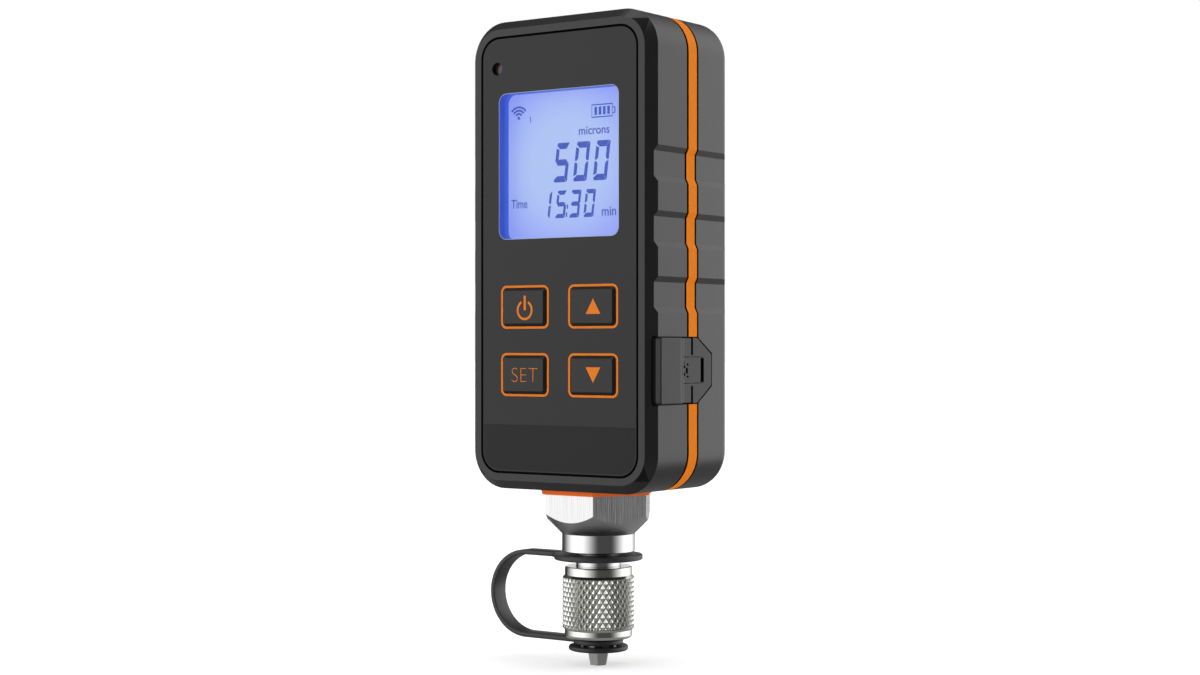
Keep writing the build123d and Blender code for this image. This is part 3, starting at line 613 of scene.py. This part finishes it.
def figure(digit, left, base, height, width, bar, post):
    """The lit segments of one leaning seven-segment figure."""
    gap = 0.13
    middle = height / 2
    top_bar = [
        (0.35 * post, height),
        (width - 0.35 * post, height),
        (width - post - gap, height - bar),
        (post + gap, height - bar),
        (0.1, height - 0.45 * bar),
    ]
    high_post = [
        (width, height - gap),
        (width, middle + 1.5 * gap),
        (width - 0.5 * post, middle + gap),
        (width - post, middle + 0.4 * bar + gap),
        (width - post, height - bar + 0.2),
        (width - 0.25 * post, height - gap),
    ]
    high_left = [
        (0.0, height - 0.75 * bar - gap),
        (post, height - bar - 1.2 * gap),
        (post, middle + 0.4 * bar + gap),
        (0.5 * post, middle + gap),
        (0.0, middle + 1.5 * gap),
    ]
    cross_bar = [
        (0.3 * post, middle),
        (post, middle + 0.5 * bar),
        (width - post, middle + 0.5 * bar),
        (width - 0.3 * post, middle),
        (width - post, middle - 0.5 * bar),
        (post, middle - 0.5 * bar),
    ]

    def turned_over(outline):
        return [(x, height - z) for x, z in reversed(outline)]

    shapes = {
        "a": top_bar,
        "b": high_post,
        "c": turned_over(high_post),
        "d": turned_over(top_bar),
        "e": turned_over(high_left),
        "f": high_left,
        "g": cross_bar,
    }
    patches = []
    for letter in SEGMENTS[digit]:
        patches.append(filled([(left + x + lean * z, base + z) for x, z in shapes[letter]]))
    return patches


def box_outline(left, right, low, high):
    """The corners of a box."""
    return [(left, low), (right, low), (right, high), (left, high)]


reading_size = {"base": 100.1, "height": 8.55, "width": 3.65, "bar": 1.35, "post": 0.82}
clock_size = {"base": 92.3, "height": 6.0, "width": 2.65, "bar": 0.95, "post": 0.6}
shown = []
for digit, left in zip("500", (-3.75, 1.5, 6.8)):
    shown += figure(digit, left, **reading_size)
for digit, left in zip("1530", (-7.4, -3.3, 0.45, 4.3)):
    shown += figure(digit, left, **clock_size)
colon_dots = (box_outline(-0.1, 0.24, 94.25, 95.2), box_outline(-0.32, 0.02, 92.5, 93.5))
shown += [filled(dot) for dot in colon_dots]
signal_foot = (-13.2, 114.75)
signal_line = 0.42
shown.append(filled(arc(signal_foot, 0.36, 0, 345, 11)))
for radius in (0.95, 1.68, 2.42):
    shown.append(stroke(arc(signal_foot, radius, 37, 143), signal_line))
channel_mark = [(-9.95, 113.55), (-9.95, 114.85), (-10.25, 114.6)]
shown.append(stroke(channel_mark, 0.17))
battery_line = 0.27
battery_cap = [(12.13, 114.4), (12.65, 114.4), (12.65, 115.6), (12.13, 115.6)]
shown.append(stroke(box_outline(6.6, 12.0, 113.7, 116.35), battery_line, closed=True))
shown.append(stroke(battery_cap, battery_line))
charge_left = 7.3
charge_pitch = 1.12
charge_width = 0.66
for step in range(4):
    left = charge_left + charge_pitch * step
    shown.append(filled(box_outline(left, left + charge_width, 114.15, 115.9)))
ink("screen_figures", shown, screen_face, ink_layer, segment_blue, "gauge_body")


def lettering(name, words, box, depth, material, body, weight=0.0):
    """Plain printed letters that fill a box across the gauge: left, right, low and high."""
    left, right, low, high = box
    text = bpy.data.curves.new(name, "FONT")
    text.body = words
    text.extrude = 0.5
    text.offset = weight
    text.resolution_u = 6
    holder = bpy.data.objects.new(name, text)
    bpy.context.scene.collection.objects.link(holder)
    bpy.context.view_layer.update()
    shaped = holder.evaluated_get(bpy.context.evaluated_depsgraph_get())
    data = bpy.data.meshes.new_from_object(shaped)
    bpy.data.objects.remove(holder)
    xs = [v.co.x for v in data.vertices]
    ys = [v.co.y for v in data.vertices]
    wide = (right - left) / (max(xs) - min(xs))
    tall = (high - low) / (max(ys) - min(ys))
    for v in data.vertices:
        x = left + (v.co.x - min(xs)) * wide
        z = low + (v.co.y - min(ys)) * tall
        y = depth - (v.co.z + 0.5) * ink_layer
        v.co = (x * MM, y * MM, z * MM)
    mesh = bmesh.new()
    mesh.from_mesh(data)
    bmesh.ops.remove_doubles(mesh, verts=mesh.verts[:], dist=0.001 * MM)
    bmesh.ops.recalc_face_normals(mesh, faces=mesh.faces[:])
    return new_piece(name, mesh, material, body)


word_weight = 0.012
screen_words = {
    "unit_word": ("microns", (3.14, 11.24, 110.07, 111.85)),
    "clock_word": ("Time", (-15.24, -10.82, 94.8, 96.8)),
    "minute_word": ("min", (9.22, 12.96, 92.4, 94.35)),
}
for name, (words, box) in screen_words.items():
    lettering(name, words, box, screen_face, pale_segment, "gauge_body", word_weight)
clear_guide = plain_finish(
    "clear_guide",
    (0.8, 0.83, 0.9),
    (0.86, 0.88, 0.94),
    grain_size=0.4,
    depth=0.002,
    roughness=0.2,
)
dress(clear_guide, "screen_backlight")
stripe_width = 0.125
strip_rubber, strip_tree, strip_shader = new_material("strip_rubber", 0.6, 0.3)
stripes = times(strip_tree, axes_of(strip_tree)["X"], 1.0 / (stripe_width * MM))
stripes = ramp(strip_tree, calc(strip_tree, "PINGPONG", stripes, 1.0), 0.4, 0.6)
strip_tone = two_tone(strip_tree, stripes, (0.02, 0.02, 0.02), (0.5, 0.42, 0.38))
strip_tree.links.new(strip_tone, strip_shader.inputs["Base Color"])
dress(strip_rubber, "contact_strip")


# Keys. Hard black caps with bevelled tops stand a little proud of the panel, each with its mark
# printed in orange, and each pushes a rubber dome on the board, which gives way under it.
def merged_copy(*names):
    """A bmesh that joins copies of modelled pieces, with their corners welded."""
    mesh = bmesh.new()
    for name in names:
        mesh.from_mesh(frame["nodes"][name].data)
    bmesh.ops.remove_doubles(mesh, verts=mesh.verts[:], dist=0.002 * MM)
    return mesh


key_black = plain_finish(
    "key_black",
    (0.011, 0.011, 0.011),
    (0.013, 0.013, 0.0135),
    grain_size=0.12,
    depth=0.003,
    roughness=0.38,
    specular=0.27,
)
dress(key_black, "key_power", "key_up", "key_set", "key_down")
dome_rubber = plain_finish(
    "dome_rubber",
    (0.55, 0.55, 0.52),
    (0.6, 0.6, 0.57),
    grain_size=0.2,
    depth=0.003,
    roughness=0.5,
    specular=0.3,
)
for mark in ("power", "up", "set", "down"):
    dome_mesh = merged_copy("dome_" + mark)
    dome = new_piece("dome_moulding_" + mark, dome_mesh, dome_rubber, "gauge_body")
    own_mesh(dome)
    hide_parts("dome_" + mark)
key_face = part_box("key_power")[0].y / MM
ring_centre = (-8.49, 72.3)
ring_radius = 1.95
ring_narrowing = 0.98
ring_path = []
for x, z in arc(ring_centre, ring_radius, 118, 422, 40):
    ring_path.append(((x - ring_centre[0]) * ring_narrowing + ring_centre[0], z))
bar_path = [(-8.46, 72.3), (-8.46, 75.45)]
power_mark = [stroke(ring_path, 0.5), stroke(bar_path, 0.6)]
arrow_left, arrow_tip, arrow_right = 7.86, 9.77, 11.7
up_mark = [filled([(arrow_left, 71.33), (arrow_right, 71.33), (arrow_tip, 74.62)])]
down_mark = [filled([(arrow_left, 59.97), (arrow_tip, 56.66), (arrow_right, 59.97)])]
ink("power_mark", power_mark, key_face, ink_layer, orange_ink, "key_power")
ink("up_mark", up_mark, key_face, ink_layer, orange_ink, "key_up")
ink("down_mark", down_mark, key_face, ink_layer, orange_ink, "key_down")
set_box = (-12.1, -5.0, 56.66, 59.7)
lettering("set_mark", "SET", set_box, key_face, orange_ink, "key_set", -0.03)

# Status light. A smoked light pipe fills the small hole above the screen, over the lamp on the
# board.
smoked_pipe = plain_finish(
    "smoked_pipe",
    (0.03, 0.012, 0.006),
    (0.05, 0.018, 0.008),
    grain_size=0.5,
    depth=0.002,
    roughness=0.25,
)
dress(smoked_pipe, "light_pipe")
lamp_white = plain_finish(
    "lamp_white",
    (0.75, 0.75, 0.7),
    (0.8, 0.8, 0.76),
    grain_size=0.2,
    depth=0.002,
    roughness=0.35,
)
dress(lamp_white, "status_light", "battery_plug", "cable_connector")

# Electronics. The green board carries the socket, chip, radio, buzzer and battery plug, with the
# foil pouch cell behind it on a foam pad, and a flat cable comes up from the sensor's own board.
board_green = plain_finish(
    "board_green",
    (0.01, 0.10, 0.04),
    (0.015, 0.13, 0.05),
    grain_size=0.3,
    depth=0.004,
    roughness=0.3,
)
chip_black = plain_finish(
    "chip_black",
    (0.014, 0.014, 0.015),
    (0.02, 0.02, 0.02),
    grain_size=0.1,
    depth=0.004,
    roughness=0.55,
)
tin_plate = plain_finish(
    "tin_plate",
    (0.55, 0.55, 0.56),
    (0.66, 0.66, 0.66),
    grain_size=0.25,
    depth=0.002,
    roughness=0.28,
    metallic=1.0,
)
pouch_foil = plain_finish(
    "pouch_foil",
    (0.5, 0.51, 0.53),
    (0.62, 0.63, 0.65),
    grain_size=0.8,
    depth=0.01,
    roughness=0.32,
    metallic=1.0,
)
foam_grey = plain_finish(
    "foam_grey",
    (0.06, 0.06, 0.06),
    (0.09, 0.09, 0.09),
    grain_size=0.3,
    depth=0.05,
    roughness=0.9,
    specular=0.1,
)
cable_film = plain_finish(
    "cable_film",
    (0.30, 0.13, 0.02),
    (0.38, 0.17, 0.03),
    grain_size=0.4,
    depth=0.002,
    roughness=0.3,
)
dress(board_green, "main_board", "sensor_board")
dress(chip_black, "controller_chip", "buzzer")
dress(tin_plate, "wireless_module", "charging_socket", "vacuum_sensor", "snap_ring")
dress(pouch_foil, "battery_cell")
dress(foam_grey, "battery_pad")
dress(cable_film, "sensor_cable")
lead_sleeve, lead_tree, lead_shader = new_material("lead_sleeve", 0.45, 0.4)
black_lead = (13.0, 20.0)
which_lead = between(lead_tree, axes_of(lead_tree)["X"], *black_lead)
lead_colour = two_tone(lead_tree, which_lead, (0.35, 0.015, 0.012), (0.012, 0.012, 0.012))
lead_tree.links.new(lead_colour, lead_shader.inputs["Base Color"])
relief(lead_tree, lead_shader, grain(lead_tree, 0.2), 0.003)
dress(lead_sleeve, "battery_leads")


# Port cover. One soft black moulding: a thick grip block at the front, a plug inside it and a
# flat tail that is held in the rear shell. Its slot and dimples open a little wider here, and
# painted shade makes its walls inside the pocket nearly black.
def add_block(mesh, low, high):
    """Adds a closed block between two corners in millimetres."""
    size = [(b - a) * MM for a, b in zip(low, high)]
    middle = [(a + b) / 2 * MM for a, b in zip(low, high)]
    shape = Matrix.Translation(middle) @ Matrix.Diagonal((*size, 1.0))
    bmesh.ops.create_cube(mesh, size=1.0, matrix=shape)


soft_black = moulded(
    "soft_black",
    (0.022, 0.022, 0.022),
    (0.027, 0.027, 0.027),
    painted_shade_boxes=[pocket_walls],
    specular=0.21,
)
moulding = merged_copy("port_cover", "cover_anchor")
slot_middle = 4.35
slot_shift = -0.15
slot_widening = 1.55
dimple_columns = (-2.85, -1.77)
dimple_widening = 1.6
tab_middle = 59.35
tab_shift = -0.1
tab_narrowing = 0.985
for corner in moulding.verts:
    x, y, z = corner.co / MM
    in_slot = 3.8 < y < 4.9 and 56.6 < z < 62.0
    in_dimples = 24.2 < x < 24.6 and -3.2 < y < -1.3 and 57.6 < z < 60.9
    on_tab = x > 23.4 and y > 2.0
    if in_slot:
        corner.co.y = (slot_middle + slot_shift + (y - slot_middle) * slot_widening) * MM
    elif in_dimples:
        column = min(dimple_columns, key=lambda c: abs(c - y))
        corner.co.y = (column + (y - column) * dimple_widening) * MM
    elif on_tab:
        corner.co.y += tab_shift * MM
        corner.co.z = (tab_middle + (z - tab_middle) * tab_narrowing) * MM
bridge_low = (24.1, -0.45, 56.0)
bridge_high = (24.546, 0.0, 62.5)
add_block(moulding, bridge_low, bridge_high)
bmesh.ops.recalc_face_normals(moulding, faces=moulding.faces[:])
cover = new_piece("cover_moulding", moulding, soft_black, None)
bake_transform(cover)
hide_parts("port_cover", "cover_anchor")

# Turned fitting. Nickel-plated brass: brushed flats, a dull cone and a polished collar and neck,
# with an orange gasket between its hexagon and the housing.
gasket_orange = plain_finish(
    "gasket_orange",
    (0.92, 0.165, 0.02),
    (0.98, 0.185, 0.025),
    grain_size=0.15,
    depth=0.004,
    roughness=0.5,
    specular=0.08,
)
dress(gasket_orange, "fitting_seal")
turned_roughness = 0.1
milled_roughness = 0.24
collar_top = (23.0, 23.2)
nickel, nickel_tree, nickel_shader = new_material("polished_nickel", turned_roughness, 0.5, 1.0)
brush_lines = grain(nickel_tree, 0.22, 3.0, (1.0, 1.0, 0.025))
on_hexagon = ramp(nickel_tree, axes_of(nickel_tree)["Z"], *(edge * MM for edge in collar_top))
brushed = two_tone(
    nickel_tree,
    ramp(nickel_tree, brush_lines, 0.34, 0.68),
    (0.43, 0.43, 0.43),
    (0.49, 0.49, 0.49),
)
nickel_colour = two_tone(nickel_tree, on_hexagon, (0.56, 0.56, 0.56), brushed)
dullness = ramp(nickel_tree, on_hexagon, 0.0, 1.0, turned_roughness, milled_roughness)
nickel_tree.links.new(nickel_colour, nickel_shader.inputs["Base Color"])
nickel_tree.links.new(dullness, nickel_shader.inputs["Roughness"])
relief(nickel_tree, nickel_shader, times(nickel_tree, brush_lines, on_hexagon), 0.035)
dress(nickel, "fitting_body")
plain_brass = plain_finish(
    "plain_brass",
    (0.60, 0.42, 0.18),
    (0.68, 0.48, 0.22),
    grain_size=0.2,
    depth=0.003,
    roughness=0.3,
    metallic=1.0,
)
dress(plain_brass, "lock_nut", "core_depressor")
seal_black = plain_finish(
    "seal_black",
    (0.014, 0.014, 0.014),
    (0.02, 0.02, 0.02),
    grain_size=0.2,
    depth=0.004,
    roughness=0.4,
    specular=0.4,
)
dress(seal_black, "sensor_seal", "flare_gasket", "plug_seal", "plug_washer")

# Coupler nut. A swivel nut in nickel-plated brass, with plain collars above and below a raised
# band of diamond knurling, and a service thread inside its mouth.
# Painted shade: the plating is darker in the knurl's valleys, within these radii and heights.
valley_radii = (7.5, 7.69)
valley_heights = (2.7, 13.2)
warm_nickel, warm_tree, warm_shader = new_material("warm_nickel", 0.15, 0.5, 1.0)
warm_plate = two_tone(
    warm_tree,
    grain(warm_tree, 1.8, 3.0),
    (0.53, 0.53, 0.50),
    (0.58, 0.58, 0.55),
)
warm_flat = vector(warm_tree, "MULTIPLY", place(warm_tree), (1.0, 1.0, 0.0))[0]
warm_radius = vector(warm_tree, "LENGTH", warm_flat)["Value"]
valley_painted_shade = times(
    warm_tree,
    between(warm_tree, warm_radius, *valley_radii, 0.07),
    between(warm_tree, axes_of(warm_tree)["Z"], *valley_heights),
)
warm_colour = two_tone(warm_tree, valley_painted_shade, warm_plate, (0.25, 0.25, 0.235))
warm_tree.links.new(warm_colour, warm_shader.inputs["Base Color"])
relief(warm_tree, warm_shader, grain(warm_tree, 0.15), 0.002)


def lathe(profile, steps):
    """A bmesh turned about the Z axis from a closed profile of radius and height."""
    mesh = bmesh.new()
    columns = []
    for step in range(steps):
        turn = 2 * math.pi * step / steps
        ring = [(r * math.cos(turn) * MM, r * math.sin(turn) * MM, z * MM) for r, z in profile]
        columns.append([mesh.verts.new(point) for point in ring])
    count = len(profile)
    for step in range(steps):
        here, there = columns[step], columns[(step + 1) % steps]
        for i in range(count):
            j = (i + 1) % count
            mesh.faces.new((here[i], there[i], there[j], here[j]))
    bmesh.ops.recalc_face_normals(mesh, faces=mesh.faces[:])
    return mesh


def add_tree(name, sizes):
    """A geometry node tree that takes a mesh and the named sizes, and gives a mesh."""
    tree = bpy.data.node_groups.new(name, "GeometryNodeTree")
    tree.interface.new_socket("Geometry", in_out="INPUT", socket_type="NodeSocketGeometry")
    for label in sizes:
        tree.interface.new_socket(label, in_out="INPUT", socket_type="NodeSocketFloat")
    tree.interface.new_socket("Geometry", in_out="OUTPUT", socket_type="NodeSocketGeometry")
    return tree, tree.nodes.new("NodeGroupInput").outputs, tree.nodes.new("NodeGroupOutput")


def end_tree(tree, geometry, last, material):
    """Ends a tree in plain geometry with its material."""
    real = node(tree, "GeometryNodeRealizeInstances", {"Geometry": geometry})
    inputs = {"Geometry": real.outputs[0], "Material": material}
    painted = node(tree, "GeometryNodeSetMaterial", inputs)
    tree.links.new(painted.outputs[0], last.inputs[0])


def shape_by_tree(name, mesh, tree, sizes):
    """Runs a tree on a bmesh and gives the result as a plain mesh object."""
    data = bpy.data.meshes.new(name)
    mesh.to_mesh(data)
    mesh.free()
    made = bpy.data.objects.new(name, data)
    bpy.context.scene.collection.objects.link(made)
    modifier = made.modifiers.new("shape", "NODES")
    modifier.node_group = tree
    for item in tree.interface.items_tree:
        if item.in_out == "INPUT" and item.name in sizes:
            modifier[item.identifier] = float(sizes[item.name])
    bpy.context.view_layer.update()
    shaped = made.evaluated_get(bpy.context.evaluated_depsgraph_get())
    result = bpy.data.meshes.new_from_object(shaped)
    made.modifiers.clear()
    made.data = result
    return made


def zigzag(tree, value):
    """A saw of even flanks, from 0 in each groove to 1 on each ridge."""
    return times(tree, calc(tree, "PINGPONG", value, 0.5), 2.0)


nut_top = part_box("coupler_nut")[1].z / MM
collar_radius = 7.47
knurl_radius = 8.0
knurl_chamfer = knurl_radius - collar_radius
knurl_flat = 0.94
diamonds_around = 38
diamond_height = 2.11
diamond_steps = 12
band_bottom = 2.42
band_top = 13.44
bore_radius = 4.95
bore_chamfer = 0.6
swivel_radius = 5.05
ring_groove_radius = 5.6
ring_groove_bottom = 11.85
ring_groove_top = 12.95
thread_top = 8.0
thread_rows = 64
mouth_round = 0.8
mouth_steps = 6
rim_chamfer = 0.3
rim_softening = 0.09
knurl_sizes = {
    "Diamonds Around": diamonds_around,
    "Diamond Height": diamond_height * MM,
    "Knurl Depth": 0.36 * MM,
    "Band Bottom": band_bottom * MM,
    "Band Top": band_top * MM,
    "Band Radius": 7.7 * MM,
    "Thread Pitch": 1.27 * MM,
    "Thread Depth": 0.6 * MM,
    "Thread Top": 7.9 * MM,
    "Bore Radius": 5.7 * MM,
}
tree, sizes, last = add_tree("knurl_and_thread", knurl_sizes)
spot = node(tree, "GeometryNodeInputPosition").outputs[0]
axes = node(tree, "ShaderNodeSeparateXYZ", {"Vector": spot}).outputs
turns = calc(tree, "DIVIDE", calc(tree, "ARCTAN2", axes["Y"], axes["X"]), 2 * math.pi)
outwards = vector(tree, "MULTIPLY", spot, (1.0, 1.0, 0.0))[0]
radius_here = vector(tree, "LENGTH", outwards)["Value"]
unit_out = vector(tree, "NORMALIZE", outwards)[0]
around = times(tree, turns, sizes["Diamonds Around"])
climb = calc(tree, "DIVIDE", axes["Z"], sizes["Diamond Height"])
one_way = zigzag(tree, calc(tree, "ADD", around, climb))
other_way = zigzag(tree, calc(tree, "SUBTRACT", around, climb))
diamond = calc(tree, "MINIMUM", calc(tree, "MINIMUM", one_way, other_way), knurl_flat)
above = calc(tree, "GREATER_THAN", axes["Z"], sizes["Band Bottom"])
below = calc(tree, "LESS_THAN", axes["Z"], sizes["Band Top"])
outer = calc(tree, "GREATER_THAN", radius_here, sizes["Band Radius"])
in_band = times(tree, times(tree, above, below), outer)
cut = times(tree, calc(tree, "SUBTRACT", diamond, knurl_flat), sizes["Knurl Depth"])
knurl_shift = times(tree, cut, in_band)
thread_climb = calc(tree, "DIVIDE", axes["Z"], sizes["Thread Pitch"])
thread_wave = zigzag(tree, calc(tree, "SUBTRACT", thread_climb, turns))
in_bore = calc(tree, "LESS_THAN", radius_here, sizes["Bore Radius"])
in_mouth = calc(tree, "LESS_THAN", axes["Z"], sizes["Thread Top"])
thread_rise = times(tree, thread_wave, sizes["Thread Depth"])
thread_shift = times(tree, thread_rise, times(tree, in_bore, in_mouth))
total_shift = calc(tree, "ADD", knurl_shift, thread_shift)
shift_inputs = {0: unit_out, "Scale": total_shift}
shift = node(tree, "ShaderNodeVectorMath", shift_inputs, operation="SCALE")
cut_inputs = {"Geometry": sizes[0], "Offset": shift.outputs[0]}
cut_metal = node(tree, "GeometryNodeSetPosition", cut_inputs)
end_tree(tree, cut_metal.outputs[0], last, warm_nickel)

nut_profile = [(bore_radius + bore_chamfer, 0.0)]
for step in range(mouth_steps + 1):
    turn = math.pi / 2 * step / mouth_steps
    drawn_in = mouth_round * (1 - math.sin(turn))
    nut_profile.append((collar_radius - drawn_in, mouth_round * (1 - math.cos(turn))))
nut_profile += [(collar_radius, band_bottom - knurl_chamfer)]
band_rows = round((band_top - band_bottom) / diamond_height * diamond_steps)
for row in range(band_rows + 1):
    row_height = band_bottom + (band_top - band_bottom) * row / band_rows
    nut_profile.append((knurl_radius, row_height))
nut_profile += [
    (collar_radius, band_top + knurl_chamfer),
    (collar_radius, nut_top - rim_chamfer),
    (collar_radius - rim_softening, nut_top - rim_softening),
    (collar_radius - rim_chamfer, nut_top),
    (swivel_radius, nut_top),
    (swivel_radius, ring_groove_top),
    (ring_groove_radius, ring_groove_top),
    (ring_groove_radius, ring_groove_bottom),
    (swivel_radius, ring_groove_bottom),
    (swivel_radius, thread_top),
    (bore_radius, thread_top),
]
for row in range(1, thread_rows + 1):
    row_height = thread_top - (thread_top - bore_chamfer) * row / thread_rows
    nut_profile.append((bore_radius, row_height))
nut_mesh = lathe(nut_profile, diamonds_around * diamond_steps)
nut = shape_by_tree("knurled_nut", nut_mesh, tree, knurl_sizes)
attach(nut, "coupler_nut")
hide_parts("coupler_nut")

# Dust plug and its strap. The plug is nickel plated, and the strap is one soft black moulding
# whose large ring turns on the neck. A toothed spring washer sits between the plug's two discs.
dull_nickel = plain_finish(
    "dull_nickel",
    (0.36, 0.36, 0.35),
    (0.42, 0.42, 0.41),
    grain_size=0.15,
    depth=0.003,
    roughness=0.34,
    metallic=1.0,
)
dress(dull_nickel, "dust_plug")
spring_steel = plain_finish(
    "spring_steel",
    (0.66, 0.66, 0.66),
    (0.74, 0.74, 0.74),
    grain_size=0.1,
    depth=0.002,
    roughness=0.16,
    metallic=1.0,
)
dress(spring_steel, "star_washer")
strap_black = plain_finish(
    "strap_black",
    (0.026, 0.026, 0.026),
    (0.032, 0.032, 0.032),
    grain_size=0.2,
    depth=0.004,
    roughness=0.42,
    specular=0.38,
)


def swept(mesh, path, width, thickness, rounding, steps=3):
    """Adds a closed strip with round edges along a path of (x, z) points in millimetres."""
    section = rounded((0.0, 0.0), (width, thickness), rounding, steps)
    rings = []
    for i, point in enumerate(path):
        before, after = path[max(i - 1, 0)], path[min(i + 1, len(path) - 1)]
        ahead = Vector((after[0] - before[0], after[1] - before[1])).normalized()
        ring = []
        for across_strip, off in section:
            x, z = point[0] - ahead.y * off, point[1] + ahead.x * off
            ring.append(mesh.verts.new((x * MM, across_strip * MM, z * MM)))
        rings.append(ring)
    count = len(section)
    for here, there in zip(rings, rings[1:]):
        for i in range(count):
            j = (i + 1) % count
            mesh.faces.new((here[i], here[j], there[j], there[i]))
    mesh.faces.new(rings[0])
    mesh.faces.new(rings[-1][::-1])


def ring_profile(inner, outer, low, high, rounding):
    """The section of a flat ring whose outer edges are round."""
    points = [(inner, high), (inner, low)]
    points += arc((outer - rounding, low + rounding), rounding, -90, 0, 4)
    points += arc((outer - rounding, high - rounding), rounding, 0, 90, 4)
    return points


strap_low, strap_high = (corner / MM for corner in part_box("plug_strap"))
strap_thickness = 1.15
strip_thickness = strap_thickness - 0.06
strip_width = 4.36
strip_rounding = 0.24
ring_rounding = 0.28
upper_ring = (5.05, 9.8)
lower_ring = (2.9, 5.47)
upper_root = -7.0
lower_root = -4.0
straight_steps = 12
bend_x = -18.85
bend_height = (strap_high.z + strap_low.z) / 2
bend_radius = (strap_high.z - strap_low.z - strap_thickness) / 2
shares = [i / straight_steps for i in range(straight_steps + 1)]
route = [(upper_root + (bend_x - upper_root) * s, bend_height + bend_radius) for s in shares[:-1]]
route += arc((bend_x, bend_height), bend_radius, 90, 270, 64)
route += [(bend_x + (lower_root - bend_x) * s, bend_height - bend_radius) for s in shares[1:]]
strap = bmesh.new()
swept(strap, route, strip_width, strip_thickness, strip_rounding)
upper_floor = strap_high.z - strap_thickness
shoulder_inset = 0.05
shoulder_floor = upper_floor + shoulder_inset
shoulder_outline = [(-8.3, -4.9), (-9.2, -3.6), (-11.4, -2.1)]
shoulder_outline += [(x, -y) for x, y in reversed(shoulder_outline)]
corners = [strap.verts.new((x * MM, y * MM, shoulder_floor * MM)) for x, y in shoulder_outline]
shoulder_lift = bmesh.ops.extrude_face_region(strap, geom=[strap.faces.new(corners)])
lifted = [g for g in shoulder_lift["geom"] if isinstance(g, bmesh.types.BMVert)]
shoulder_height = (strap_thickness - 2 * shoulder_inset) * MM
bmesh.ops.translate(strap, verts=lifted, vec=(0, 0, shoulder_height))
for (inner, outer), low in ((upper_ring, upper_floor), (lower_ring, strap_low.z)):
    turned = lathe(ring_profile(inner, outer, low, low + strap_thickness, ring_rounding), 96)
    turned_data = bpy.data.meshes.new("strap_ring")
    turned.to_mesh(turned_data)
    turned.free()
    strap.from_mesh(turned_data)
    bpy.data.meshes.remove(turned_data)
bmesh.ops.recalc_face_normals(strap, faces=strap.faces[:])
loop_strap = new_piece("plug_strap_moulding", strap, strap_black, None)
loop_strap.data.shade_smooth()
loop_strap.data.set_sharp_from_angle(angle=math.radians(40))
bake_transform(loop_strap)
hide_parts("plug_strap")

bpy.context.view_layer.update()
